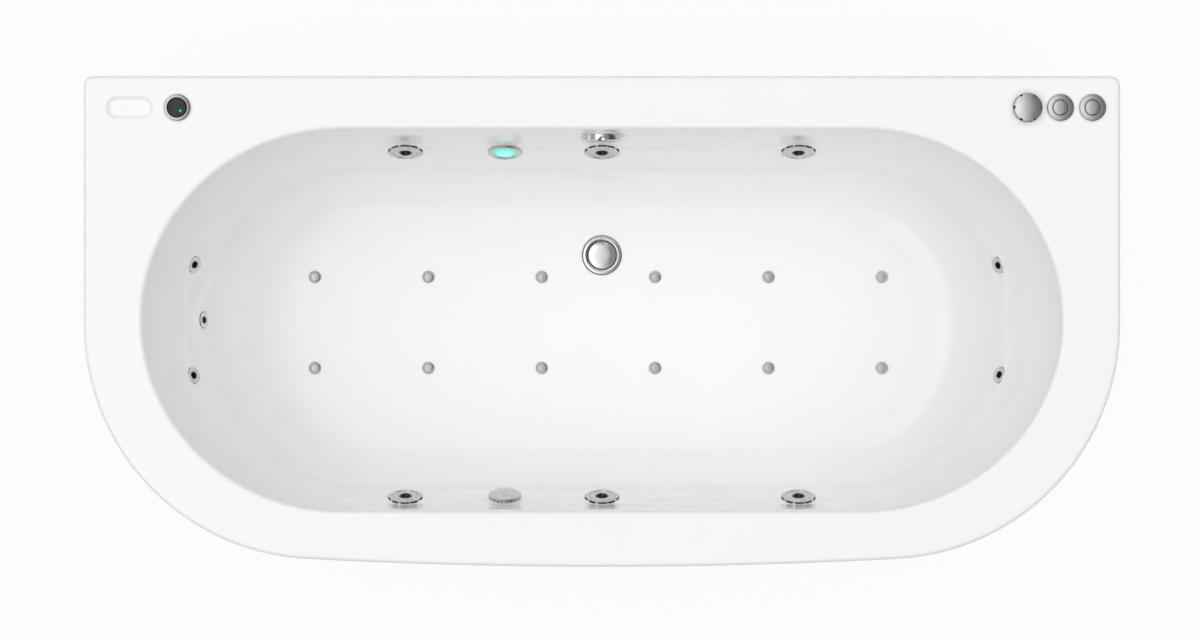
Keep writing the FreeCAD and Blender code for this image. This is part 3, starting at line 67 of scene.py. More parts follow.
def gridFaces(rows, cols, wrap=True):
    # quads between neighbouring rows, closed round the columns if wanted
    r = np.arange(rows - 1)[:, None]
    c = np.arange(cols if wrap else cols - 1)[None, :]
    n = (c + 1) % cols
    quads = np.stack([r * cols + c, r * cols + n, (r + 1) * cols + n, (r + 1) * cols + c], axis=-1)
    return quads.reshape(-1, 4)


def joined(pieces):
    # several (points, faces) pairs as one
    points, faces, start = [], [], 0
    for piecePoints, pieceFaces in pieces:
        piecePoints = np.asarray(piecePoints, float).reshape(-1, 3)
        points.append(piecePoints)
        faces.extend((np.asarray(pieceFaces) + start).tolist())
        start += len(piecePoints)
    return np.concatenate(points), faces


def axisFrame(axis):
    # two directions across an axis, and the axis at unit length
    along = np.asarray(axis, float)
    along = along / np.linalg.norm(along)
    helper = np.array([0.0, 0.0, 1.0]) if abs(along[2]) < 0.95 else np.array([0.0, 1.0, 0.0])
    side = np.cross(helper, along)
    side = side / np.linalg.norm(side)
    return side, np.cross(along, side), along


def around(turn):
    # unit directions at the given turns
    return np.stack([np.cos(turn), np.sin(turn)], axis=-1)


def atHeight(level, z):
    # points of a plan with their height added
    return np.concatenate([level, np.broadcast_to(z, level.shape[:-1])[..., None]], axis=-1)


def softProfile(corners, closed=False, parts=5):
    # corners are (radius, height, bend); each bend becomes an arc that takes at most edgeShare of an edge
    nearlyFlat, edgeShare = 1.56, 0.48
    out = []
    count = len(corners)
    for i, (radius, height, bend) in enumerate(corners):
        here = np.array([radius, height])
        if bend <= 0 or (not closed and i in (0, count - 1)):
            out.append(here)
            continue
        before = np.array(corners[i - 1][:2]) - here
        after = np.array(corners[(i + 1) % count][:2]) - here
        lengths = np.linalg.norm(before), np.linalg.norm(after)
        before, after = before / lengths[0], after / lengths[1]
        half = 0.5 * math.acos(float(np.clip(before @ after, -1, 1)))
        if half > nearlyFlat:
            out.append(here)
            continue
        reach = min(bend / math.tan(half), edgeShare * lengths[0], edgeShare * lengths[1])
        arc = reach * math.tan(half)
        middle = (before + after) / np.linalg.norm(before + after)
        centre = here + middle * (arc / math.sin(half))
        first, last = here + before * reach - centre, here + after * reach - centre
        start = math.atan2(first[1], first[0])
        swing = (math.atan2(last[1], last[0]) - start + math.pi) % (2 * math.pi) - math.pi
        out.extend(centre + arc * around(start + swing * np.arange(parts + 1) / parts))
    if closed:
        out.append(out[0])
    return np.array(out)


def spin(profile, base, axis, steps=96, shape=None):
    # a profile of (radius, height) carried round an axis; shape(radius, height, turn) may change the radius
    side, cross, along = axisFrame(axis)
    profile = np.asarray(profile, float)
    turn = np.linspace(0, 2 * math.pi, steps, endpoint=False)
    radius = np.repeat(profile[:, :1], steps, axis=1)
    height = np.repeat(profile[:, 1:2], steps, axis=1)
    if shape is not None:
        radius = shape(radius, height, turn[None, :])
    ring = np.cos(turn)[:, None] * side + np.sin(turn)[:, None] * cross
    points = np.asarray(base, float) + radius[..., None] * ring[None] + height[..., None] * along
    return points.reshape(-1, 3), gridFaces(len(profile), steps)


def carry(profile, path, normals, wrap=True):
    # a profile of (offset, z) carried along a level path; offset is measured along the path's normals
    profile = np.asarray(profile, float)
    level = path[None] + profile[:, :1, None] * normals[None]
    points = atHeight(level, profile[:, 1:])
    return points.reshape(-1, 3), gridFaces(len(profile), len(path), wrap)


def insideLoop(points, loop):
    # crossing test of many points against one closed loop
    x, y = points[:, 0][:, None], points[:, 1][:, None]
    a, b = loop, np.roll(loop, -1, axis=0)
    crosses = (a[None, :, 1] > y) != (b[None, :, 1] > y)
    tiny, rise = 1e-12, b[:, 1] - a[:, 1]
    rise = np.where(np.abs(rise) < tiny, tiny, rise)
    at = a[None, :, 0] + (y - a[None, :, 1]) * ((b[:, 0] - a[:, 0]) / rise)[None]
    return (np.sum(crosses & (x < at), axis=1) % 2) == 1


def flatSheet(outer, holes, z):
    # a level sheet inside one loop and outside the others
    loops = [outer] + list(holes)
    flat = np.concatenate(loops)
    edges, start = [], 0
    for loop in loops:
        index = np.arange(len(loop))
        edges += np.stack([index + start, (index + 1) % len(loop) + start], axis=1).tolist()
        start += len(loop)
    found = delaunay_2d_cdt([Vector(p) for p in flat.tolist()], edges, [], 0, 1e-7)
    points = np.array([[v.x, v.y] for v in found[0]])
    faces = np.array([list(f) for f in found[2]])
    centres = points[faces].mean(axis=1)
    keep = insideLoop(centres, outer)
    for hole in holes:
        keep &= ~insideLoop(centres, hole)
    return atHeight(points, z), faces[keep]


def circleLoop(x, y, radius, steps=48):
    # points at one radius round a centre
    return np.array([x, y]) + radius * around(np.linspace(0, 2 * math.pi, steps, endpoint=False))


def newObject(name, data):
    # an object in the scene for a mesh, a lamp or a camera
    made = bpy.data.objects.new(name, data)
    bpy.context.scene.collection.objects.link(made)
    return made


def addPiece(name, shape, finish, body, hides=(), sharp=seam["sharp"]):
    # puts points and faces into a mesh, merges its seams, and makes it ride on a body
    points, faces = shape
    mesh = bpy.data.meshes.new(name)
    mesh.from_pydata((np.asarray(points) * toMetres).tolist(), [], [list(f) for f in faces])
    work = bmesh.new()
    work.from_mesh(mesh)
    bmesh.ops.remove_doubles(work, verts=work.verts, dist=seam["merge"])
    bmesh.ops.dissolve_degenerate(work, dist=seam["sliver"], edges=work.edges)
    bmesh.ops.recalc_face_normals(work, faces=work.faces)
    work.to_mesh(mesh)
    work.free()
    mesh.shade_smooth()
    mesh.set_sharp_from_angle(angle=math.radians(sharp))
    mesh.materials.append(finishes[finish])
    piece = newObject(name, mesh)
    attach(piece, body)
    if hides:
        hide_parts(*hides)
    return piece


def faceCentres(piece):
    # middles of a piece's faces, in millimetres
    centres = np.zeros(len(piece.data.polygons) * 3)
    piece.data.polygons.foreach_get("center", centres)
    return centres.reshape(-1, 3) / toMetres


def secondFinish(piece, chosen, finish):
    # gives the chosen faces another finish
    mesh = piece.data
    indices = np.zeros(len(mesh.polygons), np.int32)
    mesh.polygons.foreach_get("material_index", indices)
    indices[chosen] = len(mesh.materials)
    mesh.materials.append(finishes[finish])
    mesh.polygons.foreach_set("material_index", indices)
    mesh.update()


# finishes

def setValues(node, values):
    # a node's own values, by socket
    for socket, value in values.items():
        node.inputs[socket].default_value = value


def feed(node, sources):
    # links outputs to a node's sockets
    for socket, source in sources.items():
        node.id_data.links.new(source, node.inputs[socket])


def addNode(tree, kind, values={}, sources={}):
    # a new node with its own values, fed by other nodes
    node = tree.nodes.new(kind)
    setValues(node, values)
    feed(node, sources)
    return node


def newFinish(name, color, roughness, metallic=0.0):
    # a plain material, with its tree and its shader
    material = bpy.data.materials.new(name)
    material.use_nodes = True
    tree = material.node_tree
    shader = tree.nodes["Principled BSDF"]
    setValues(shader, {"Base Color": (*color, 1), "Roughness": roughness, "Metallic": metallic})
    return material, tree, shader


def objectPoint(tree, scale=(1, 1, 1)):
    # Object coordinates, stretched if wanted
    coord = addNode(tree, "ShaderNodeTexCoord")
    mapping = addNode(tree, "ShaderNodeMapping", {"Scale": scale}, {"Vector": coord.outputs["Object"]})
    return mapping.outputs["Vector"]


def noiseOf(tree, point, scale, detail=3.0, rough=0.55):
    # a noise's value at a point
    values = {"Scale": scale, "Detail": detail, "Roughness": rough}
    return addNode(tree, "ShaderNodeTexNoise", values, {"Vector": point}).outputs["Fac"]


def rampOf(tree, value, stops):
    # a colour picked by a value, between stops of (place, colour)
    ramp = addNode(tree, "ShaderNodeValToRGB", {}, {"Fac": value})
    while len(ramp.color_ramp.elements) < len(stops):
        ramp.color_ramp.elements.new(0.5)
    for element, (at, color) in zip(ramp.color_ramp.elements, stops):
        element.position = at
        element.color = (*color, 1)
    return ramp.outputs["Color"]


def rangeOf(tree, value, low, high, fromLow=0.3, fromHigh=0.7):
    # a value stretched from one span to another
    values = {"From Min": fromLow, "From Max": fromHigh, "To Min": low, "To Max": high}
    return addNode(tree, "ShaderNodeMapRange", values, {"Value": value}).outputs["Result"]


def bumpOf(tree, value, strength, distance):
    # a normal that follows a height
    values = {"Strength": strength, "Distance": distance}
    return addNode(tree, "ShaderNodeBump", values, {"Height": value}).outputs["Normal"]


def variedFinish(name, darker, lighter, roughness, metallic, patch, grain, grainBump, grainSize=0.0002):
    # colour drifts over patches, gloss over smaller ones, and a fine grain lifts the surface
    middle = [(a + b) / 2 for a, b in zip(darker, lighter)]
    material, tree, shader = newFinish(name, middle, roughness, metallic)
    finer, glossier, duller = 4.0, 0.8, 1.25
    point = objectPoint(tree)
    patches, gloss = noiseOf(tree, point, patch), noiseOf(tree, point, patch * finer)
    feed(shader, {"Base Color": rampOf(tree, patches, [(0.3, darker), (0.7, lighter)]),
                  "Roughness": rangeOf(tree, gloss, roughness * glossier, min(roughness * duller, 1.0))})
    if grainBump > 0:
        feed(shader, {"Normal": bumpOf(tree, noiseOf(tree, point, grain), grainBump, grainSize)})
    return material, tree, shader


# slot: name, darker and lighter colour, roughness, metallic, scale of patches, scale, bump and size of grain
looks = {
    "acrylic_white": ("acrylicWhite", (0.925, 0.927, 0.928), (0.940, 0.941, 0.941),
                      0.13, 0.0, 2.2, 130, 0.015),
    "chrome": ("chromePolished", (0.70, 0.71, 0.72), (0.78, 0.785, 0.79), 0.05, 1.0, 40, 0, 0.0),
    "satin_metal": ("chromeSatin", (0.565, 0.57, 0.575), (0.60, 0.605, 0.61), 0.27, 1.0, 11, 0, 0.0),
    "nozzle_black": ("nozzleBlack", (0.006, 0.006, 0.007), (0.014, 0.014, 0.015),
                     0.25, 0.0, 90, 1500, 0.04, 0.0001),
    "lens_turquoise": ("lensTurquoise", (0.02, 0.58, 0.50), (0.06, 0.74, 0.66),
                       0.12, 0.0, 60, 260, 0.12, 0.0003),
    "led_turquoise": ("pilotTurquoise", (0.0, 0.42, 0.34), (0.01, 0.55, 0.45), 0.2, 0.0, 200, 900, 0.05),
    "rubber_black": ("rubberBlack", (0.018, 0.018, 0.018), (0.032, 0.031, 0.03), 0.72, 0.0, 30, 700, 0.15),
    "pvc_white": ("pipeWhite", (0.74, 0.74, 0.71), (0.82, 0.82, 0.80), 0.36, 0.0, 6, 220, 0.05),
    "steel_zinc": ("steelZinc", (0.46, 0.47, 0.47), (0.62, 0.63, 0.63), 0.38, 1.0, 24, 300, 0.06),
    "motor_paint": ("motorPaint", (0.055, 0.06, 0.066), (0.085, 0.09, 0.097), 0.42, 0.0, 12, 320, 0.10),
    "black_plastic": ("plasticBlack", (0.022, 0.022, 0.024), (0.038, 0.038, 0.04),
                      0.46, 0.0, 14, 900, 0.12, 0.0001),
}
extraSockets = {
    "acrylic_white": {"IOR": 1.49, "Coat Weight": 0.25, "Coat Roughness": 0.05},
    "lens_turquoise": {"Emission Strength": 0.55, "Coat Weight": 0.6},
    "led_turquoise": {"Emission Color": (0.0, 0.60, 0.50, 1), "Emission Strength": 0.35},
}
lensGlow = {"reach": 0.020, "stops": [(0.20, (0.62, 0.95, 0.88)), (0.95, (0.07, 0.74, 0.54))]}
boardLook = {"color": (0.55, 0.42, 0.27), "roughness": 0.7, "chips": 190.0, "bump": (0.25, 0.0006),
             "stops": [(0.0, (0.40, 0.28, 0.16)), (0.45, (0.60, 0.46, 0.30)), (0.9, (0.70, 0.58, 0.41))]}
fibreLook = {"color": (0.74, 0.72, 0.66), "roughness": 0.5, "gloss": (0.32, 0.68), "bump": (0.5, 0.0012),
             "clouds": (7.0, 6.0), "stretch": (60, 14, 60), "strands": (3.0, 8.0, 0.7),
             "stops": [(0.3, (0.66, 0.63, 0.55)), (0.55, (0.76, 0.74, 0.68)), (0.75, (0.80, 0.79, 0.75))]}


def lightTheLens(tree, shader):
    # the lens glows palest in its middle
    middle = [toMetres * v for v in lightSeat[0]]
    away = addNode(tree, "ShaderNodeVectorMath", {1: middle}, {0: objectPoint(tree)})
    away.operation = "DISTANCE"
    share = rangeOf(tree, away.outputs["Value"], 0.0, 1.0, 0.0, lensGlow["reach"])
    feed(shader, {"Emission Color": rampOf(tree, share, lensGlow["stops"])})


def boardFinish():
    # pressed chips of wood
    material, tree, shader = newFinish("boardChip", boardLook["color"], boardLook["roughness"])
    scale, point = {"Scale": boardLook["chips"]}, {"Vector": objectPoint(tree)}
    distance = addNode(tree, "ShaderNodeTexVoronoi", scale, point).outputs["Distance"]
    feed(shader, {"Base Color": rampOf(tree, distance, boardLook["stops"]),
                  "Normal": bumpOf(tree, distance, *boardLook["bump"])})
    return material


def fibreFinish():
    # clouded resin over chopped strands
    material, tree, shader = newFinish("glassFibre", fibreLook["color"], fibreLook["roughness"])
    clouds = noiseOf(tree, objectPoint(tree), *fibreLook["clouds"])
    strands = noiseOf(tree, objectPoint(tree, fibreLook["stretch"]), *fibreLook["strands"])
    feed(shader, {"Base Color": rampOf(tree, clouds, fibreLook["stops"]),
                  "Roughness": rangeOf(tree, strands, *fibreLook["gloss"]),
                  "Normal": bumpOf(tree, strands, *fibreLook["bump"])})
    return material


def makeFinishes():
    # every finish by the name of its slot
    made = {}
    for slotName, look in looks.items():
        made[slotName], tree, shader = variedFinish(*look)
        setValues(shader, extraSockets.get(slotName, {}))
        if slotName == "lens_turquoise":
            lightTheLens(tree, shader)
    made["board"] = boardFinish()
    made["glassFibre"] = fibreFinish()
    return made


# the bath's outline and well

def outlinePath(step):
    # the rim's outline, counter-clockwise, as points and outward normals
    half, back, corner = tub["length"] / 2, tub["width"] / 2, tub["backCorner"]
    turn, bow = tub["frontCorner"], tub["frontBow"]
    turnX = half - turn
    bowY = -back + bow
    turnY = bowY - math.sqrt((bow - turn) ** 2 - turnX ** 2)
    lean = math.degrees(math.asin(turnX / (bow - turn)))
    points, normals = [], []

    def line(x0, y0, x1, y1, nx, ny):
        # a straight stretch with one normal
        count = max(int(math.hypot(x1 - x0, y1 - y0) / step), 2)
        t = np.linspace(0, 1, count, endpoint=False)
        points.append(np.stack([x0 + (x1 - x0) * t, y0 + (y1 - y0) * t], axis=1))
        normals.append(np.tile([float(nx), float(ny)], (count, 1)))

    def arc(x, y, radius, start, end, least):
        # a round stretch, whose normals point from its centre
        count = max(int(math.radians(end - start) * radius / step), least)
        t = np.radians(np.linspace(start, end, count, endpoint=False))
        direction = around(t)
        points.append(np.array([[x, y]]) + radius * direction)
        normals.append(direction)

    line(half, turnY, half, back - corner, 1, 0)
    arc(half - corner, back - corner, corner, 0, 90, 12)
    line(half - corner, back, corner - half, back, 0, 1)
    arc(corner - half, back - corner, corner, 90, 180, 12)
    line(-half, back - corner, -half, turnY, -1, 0)
    arc(-turnX, turnY, turn, 180, 270 - lean, 8)
    arc(0, bowY, bow, 270 - lean, 270 + lean, 8)
    arc(turnX, turnY, turn, 270 + lean, 360, 8)
    return np.concatenate(points), np.concatenate(normals)


def wallCurve(wall):
    # a wall's lean, the radius of its toe, and the depth at which the toe starts
    lean, toe = math.radians(tub["draft"][wall]), tub["toe"][wall]
    return lean, toe, tub["depth"] - toe * (1 - math.sin(lean))


def wellReach(depth):
    # left, right, front and back of the well at a depth
    # each wall leans straight in, then turns round into the floor
    depth = np.asarray(depth, float)

    def offset(wall):
        # how far a wall has come in at each depth
        lean, toe, turn = wallCurve(wall)
        above = np.clip(tub["depth"] - depth, 0, toe)
        curved = turn * math.tan(lean) + toe * math.cos(lean) - np.sqrt(above * (2 * toe - above))
        return np.where(depth <= turn, depth * math.tan(lean), curved)

    half, side = tub["length"] / 2 - tub["endDeck"], tub["width"] / 2
    return (-half + offset("left"), half - offset("right"), -side + tub["frontDeck"] + offset("front"),
            side - tub["backDeck"] - offset("back"))


def wellPoint(direction, depth, grow=0.0):
    # where a level ray from the middle meets the well's section: two straight sides, four quarter ellipses
    left, right, front, back = wellReach(depth)
    c, s = direction[:, 0][None, :], direction[:, 1][None, :]
    endReach = np.where(c > 0, right - halfStraight, -left - halfStraight) + grow
    sideReach = np.where(s > 0, back - midY, midY - front) + grow
    ac, steep = np.abs(c), np.maximum(np.abs(s), 1e-9)
    straight = sideReach / steep
    a = ac ** 2 / endReach ** 2 + steep ** 2 / sideReach ** 2
    b = -2 * halfStraight * ac / endReach ** 2
    k = halfStraight ** 2 / endReach ** 2 - 1
    curved = (-b + np.sqrt(np.maximum(b ** 2 - 4 * a * k, 0))) / (2 * a)
    reach = np.where(straight * ac <= halfStraight, straight, curved)
    return np.stack([reach * c, midY + reach * s], axis=2)


def planNormals(loop):
    # outward normals of a closed plan, square to the line between each point's neighbours
    along = np.roll(loop, -1, axis=0) - np.roll(loop, 1, axis=0)
    normal = np.stack([along[:, 1], -along[:, 0]], axis=1)
    return normal / np.linalg.norm(normal, axis=1, keepdims=True)


# seats of the fittings, as (point, axis into the well)

sideJet = {"pitch": 332.0, "depth": 187.0, "tilt": 21.0, "raise": -1.0, "nutFace": 12.0, "gasket": 1.0,
           "flange": 1.5, "flangeRadius": 27.0, "ring": 29.5, "face": 4.5, "ball": 13.0, "drop": 4.5,
           "mouth": 10.5, "bore": 6.0, "pad": 30.5, "fade": 45.0, "hole": 21.0, "polished": 0.97}
band = {"level": 1.8, "back": 6.0, "front": 8.4, "fadeUp": 155.0, "endFade": 190.0, "soft": 2.7, "near": 60.0,
        "padDepth": 9.0, "boreReach": 40.0}
# slots of painted shade round each jet ring's skirt, standing in for the shadow in its notches
slotShade = {"slots": 10, "share": 0.36, "edge": 0.07, "down": 0.04, "slack": 0.2, "foot": 0.6}
endJet = {"spread": 94.0, "raise": -0.4, "nutFace": 14.0, "gasket": 0.8, "flange": 1.2, "flangeRadius": 13.0,
          "ring": 14.5, "face": 3.4, "ball": 7.5, "drop": 1.6, "mouth": 6.3, "bore": 3.5, "pad": 16.0,
          "fade": 34.0, "wetFade": 112.0, "level": 2.8, "push": 3.6, "hole": 10.0,
          "backrest": (190.0, 40.0), "lumbar": (275.0, 24.5), "foot": (260.0, 40.0)}
fittingX = -164.0
overflow = {"depth": 62.0, "back": 3.5, "knob": 33.7, "height": 11.0, "gap": 0.3, "sideWall": 4.0,
            "frontWall": 5.0, "shaft": 7.0, "shaftEnd": -20.0, "notch": 6.3, "notchDepth": 3.2, "pad": 34.5,
            "fade": 16.0, "wetFade": 16.0, "level": 0.0, "push": 8.0, "nutFace": 6.0, "ring": 34.3,
            "hole": 19.0}


def sideSeat(x, atBack):
    # a point of a long wall, and an axis tilted up from level
    front, back = wellReach(sideJet["depth"])[2:]
    tilt = math.radians(sideJet["tilt"])
    axis = np.array([0, -math.cos(tilt) if atBack else math.cos(tilt), math.sin(tilt)])
    wall = np.array([x, back if atBack else front, tub["rim"] - sideJet["depth"]])
    return wall + axis * sideJet["raise"], axis


def endSeat(y, depth, tilt, atLeft):
    # a point of an end's half ellipse, and the ellipse's normal tilted up from level
    left, right, front, back = wellReach(depth)
    across = y - midY
    halfWidth = back - midY if across > 0 else midY - front
    halfEnd = -halfStraight - left if atLeft else right - halfStraight
    along = halfEnd * math.sqrt(1 - (across / halfWidth) ** 2)
    outward = -1.0 if atLeft else 1.0
    plan = np.array([-outward * along / halfEnd ** 2, -across / halfWidth ** 2, 0.0])
    plan = plan / np.linalg.norm(plan)
    axis = plan * math.cos(math.radians(tilt)) + np.array([0, 0, math.sin(math.radians(tilt))])
    return np.array([outward * (halfStraight + along), y, tub["rim"] - depth]) + axis * endJet["raise"], axis


sideSeats = {}
for wallName, atBack in (("back", True), ("front", False)):
    for placeName, column in (("left", -1), ("middle", 0), ("right", 1)):
        sideSeats[wallName + "_" + placeName] = sideSeat(column * sideJet["pitch"], atBack)
endSeats = {
    "backrest_back": endSeat(midY + endJet["spread"], *endJet["backrest"], True),
    "backrest_front": endSeat(midY - endJet["spread"], *endJet["backrest"], True),
    "lumbar": endSeat(midY, *endJet["lumbar"], True),
    "foot_back": endSeat(midY + endJet["spread"], *endJet["foot"], False),
    "foot_front": endSeat(midY - endJet["spread"], *endJet["foot"], False),
}
lightSeat, suctionSeat = sideSeat(fittingX, True), sideSeat(fittingX, False)
overflowY = float(wellReach(overflow["depth"])[3]) + overflow["back"]
overflowSeat = (np.array([0, overflowY, tub["rim"] - overflow["depth"]]), np.array([0.0, -1.0, 0.0]))
airJets = {"columns": 6, "pitch": 198.8, "rowPitch": 159.6, "x": -6.0, "y": -1.9, "radius": 11.0,
           "height": 4.0, "stem": 6.0, "stemEnd": -16.0, "hole": 6.3}
airMiddle = (airJets["columns"] - 1) / 2
airPlaces = [(airJets["x"] + (i - airMiddle) * airJets["pitch"], airJets["y"] + row * airJets["rowPitch"])
             for i in range(airJets["columns"]) for row in (-0.5, 0.5)]
# drain sizes; paintedShadeRim is the width of painted shade round the flange's outer edge
drain = {"y": 116.0, "flange": 35.0, "height": 4.0, "hole": 25.0, "wall": 3.0, "plug": 24.0, "paintedShadeRim": 1.5,
         "spigotEnd": -48.0, "stem": 4.0, "stemEnd": -56.0, "guide": (4.1, 8.0), "guideSpan": (-42.0, -28.0),
         "spoke": (7.0, 25.5), "spokeHalf": 1.5, "spokeSpan": (-40.0, -30.0)}
deck = {"y": 350.5, "light": -696.0, "knob": 697.4, "massage": 751.0, "air": 803.6, "hole": 14.3,
        "recessX": -774.5, "recessLength": 76.0, "recessWidth": 36.0, "recessDepth": 4.0}
fittings = [(seat, axis, sideJet) for seat, axis in list(sideSeats.values()) + [lightSeat, suctionSeat]]
fittings += [(seat, axis, endJet) for seat, axis in endSeats.values()] + [(*overflowSeat, overflow)]

finishes = makeFinishes()
for entry in frame["record"]["subparts"]:
    node = nodes[entry["node"]]
    node.data.materials.clear()
    node.data.materials.append(finishes[entry["material_slot"]])
print("finishes made:", len(finishes))


def smooth(share):
    # a step from 0 to 1 that starts and ends level
    return share ** 3 * (10 - 15 * share + 6 * share ** 2)


def softClip(value, limit):
    # rises from 0 to the limit with no crease at either end
    soft = band["soft"]
    return limit * smooth(np.clip((value + soft) / (limit + 2 * soft), 0, 1))


def seatOffsets(points, seat, axis):
    # height over a seat's plane, and distance from its axis
    away = points - seat
    lift = away @ axis
    return lift, np.linalg.norm(away - lift[..., None] * axis, axis=-1)


def seatBosses(points, level):
    # draws the long walls back along one soft band, then the wall round each fitting to its flat seat
    out = points.copy()
    wet = level == "wet"
    for wallName in ("back", "front"):
        seat, axis = sideSeats[wallName + "_middle"]
        away = out - seat
        lift = away @ axis
        up = away @ np.array([0, -axis[2] * np.sign(axis[1]), abs(axis[1])])
        rise = np.clip((sideJet["pad"] + band["fadeUp"] - np.abs(up)) / band["fadeUp"], 0, 1)
        reach = np.clip((sideJet["pitch"] + band["endFade"] - np.abs(out[..., 0])) / band["endFade"], 0, 1)
        weight = smooth(rise) * reach * reach * (3 - 2 * reach) * (np.abs(lift) < band["near"])
        target = band["level"] if wet else band["level"] - tub["wall"]
        out = out - (softClip(lift - target, band[wallName]) * weight)[..., None] * axis
    for seat, axis, size in fittings:
        if wet and size is sideJet:
            continue
        target = size["level"] if wet else -size["nutFace"]
        soft = size["wetFade"] if wet else size["fade"]
        lift, radial = seatOffsets(out, seat, axis)
        fade = np.clip((size["pad"] + soft - radial) / soft, 0, 1)
        weight = smooth(fade) * (np.abs(lift) < band["near"])
        move = softClip(lift - target, size["push"]) if wet else lift - target
        out = out - (move * weight)[..., None] * axis
    return out


def seatPads():
    # the moulded pad that fills the wedge between the wall and each fitting's flat seat
    pads = []
    for seat, axis, size in fittings:
        edge = size["ring"] + 0.2
        profile = softProfile([(size["hole"], 0, 0.2), (edge, 0, 1.0), (edge, -band["padDepth"], 0)])
        pads.append(spin(profile, seat, axis, 72))
    return joined(pads)


def fittingHoles(points, faces):
    # leaves out the faces behind each fitting, where the real wall is bored
    faces = np.asarray(faces)
    centres = points[faces].mean(axis=1)
    keep = np.ones(len(faces), bool)
    for seat, axis, size in fittings:
        lift, radial = seatOffsets(centres, seat, axis)
        keep &= ~((radial < size["hole"]) & (np.abs(lift) < band["boreReach"]))
    return faces[keep]


def pillPath(length, width, steps=28):
    # a slot outline with half-round ends, counter-clockwise, and its outward normals
    radius = width / 2
    reach = length / 2 - radius
    turn = np.radians(np.linspace(-90, 90, steps))
    ends = []
    for side in (1, -1):
        t = turn if side > 0 else turn + math.pi
        ends.append((radius * around(t) + np.array([side * reach, 0]), around(t)))
    return np.concatenate([e[0] for e in ends]), np.concatenate([e[1] for e in ends])


def wallRows(count):
    # shares of the depth that space the rows evenly along the wall's curve
    lean, toe, turn = wallCurve("back")
    straight, swing = np.linspace(0, turn, 400), np.linspace(lean, math.pi / 2, 400)[1:]
    down = np.concatenate([straight, tub["depth"] - toe * (1 - np.sin(swing))])
    run = np.concatenate([straight, turn + toe * (swing - lean)])
    return np.interp(np.linspace(0, run[-1], count), run, down) / tub["depth"]


def raysTo(outer):
    # level directions from the well's middle to each point of the outline
    direction = outer - wellMiddle
    return direction / np.linalg.norm(direction, axis=1, keepdims=True)


def wetShell():
    # floor, wall, rounded rim, flat deck with its recess, and the outer edge with its lip
    rim, strip = tub["rim"], tub["strip"]
    outer, outerNormals = outlinePath(tub["step"])
    direction = raysTo(outer)
    probe = 10.0
    top = wellPoint(direction, np.zeros((1, len(outer))))[0]
    lower = wellPoint(direction, np.full((1, len(outer)), probe))[0]
    normals = planNormals(top)
    lean = np.arctan(np.maximum(np.sum((top - lower) * normals, axis=1) / probe, 0.0))
    edge = tub["wellEdge"]
    reach = edge * (1 - np.sin(lean)) / np.cos(lean)
    sweep = np.linspace(0, 1, 9)[:, None] * (math.pi / 2 - lean)[None]
    arcOut = reach[None] - edge * np.sin(sweep)
    arcDown = edge - edge * np.cos(sweep)
    arcLevel = top[None] + arcOut[..., None] * normals[None]
    arcRows = atHeight(arcLevel, rim - arcDown)
    stripRow = atHeight(top + (reach + strip)[:, None] * normals, rim)
    firstDepth = edge * (1 - np.sin(lean))
    depth = firstDepth[None] + wallRows(tub["wallRows"])[1:, None] * (tub["depth"] - firstDepth)[None]
    wall = seatBosses(atHeight(wellPoint(direction, depth), rim - depth), "wet")
    floorRow = wall[-1].copy()
    floorRow[:, :2] -= 3.0 * strip * direction
    rows = np.concatenate([stripRow[None], arcRows, wall, floorRow[None]])
    wellPoints = rows.reshape(-1, 3)
    wellFaces = fittingHoles(wellPoints, gridFaces(len(rows), len(outer))[:, ::-1])

    floorHoles = [circleLoop(x, y, airJets["hole"], 24) for x, y in airPlaces]
    floorHoles.append(circleLoop(0, drain["y"], drain["hole"] + drain["wall"] + 0.3, 64))
    floor = flatSheet(floorRow[:, :2], floorHoles, floorZ)

    bend, thick, lipEnd = tub["outerEdge"], tub["wall"], rim - tub["lip"]
    edgeProfile = softProfile([(-bend - strip, rim, 0), (0, rim, bend), (0, lipEnd, 1.5),
                               (-thick, lipEnd, 1.5), (-thick, lipEnd + tub["lipInside"], 0)], parts=8)
    edgeShape = carry(edgeProfile, outer, outerNormals)

    pill, pillNormals = pillPath(deck["recessLength"], deck["recessWidth"])
    pill = pill + np.array([[deck["recessX"], deck["y"]]])
    bottom = rim - deck["recessDepth"]
    recessProfile = softProfile([(4.0 + strip, rim, 0), (1.2, rim, 3.5), (-4.8, bottom, 9.0),
                                 (-12, bottom - 0.5, 0), (-17.9, bottom - 0.6, 0)], parts=8)
    recess = carry(recessProfile, pill, pillNormals)
    deckHoles = [stripRow[:, :2], recess[0][:len(pill), :2]]
    for name in ("light", "knob", "massage", "air"):
        deckHoles.append(circleLoop(deck[name], deck["y"], deck["hole"], 40))
    sheet = flatSheet(edgeShape[0][:len(outer), :2], deckHoles, rim)
    return joined([(wellPoints, wellFaces), floor, edgeShape, recess, sheet])


def wetPiece():
    # the whole wet side, with its normals up on the deck
    piece = addPiece("tubAcrylic", wetShell(), "acrylic_white", "tub", ["bath_shell"],
                     seam["shellSharp"])
    mesh = piece.data
    normals = np.zeros(len(mesh.polygons) * 3)
    mesh.polygons.foreach_get("normal", normals)
    onDeck = faceCentres(piece)[:, 2] > tub["rim"] - 0.1
    if normals.reshape(-1, 3)[onDeck, 2].mean() < 0:
        mesh.flip_normals()


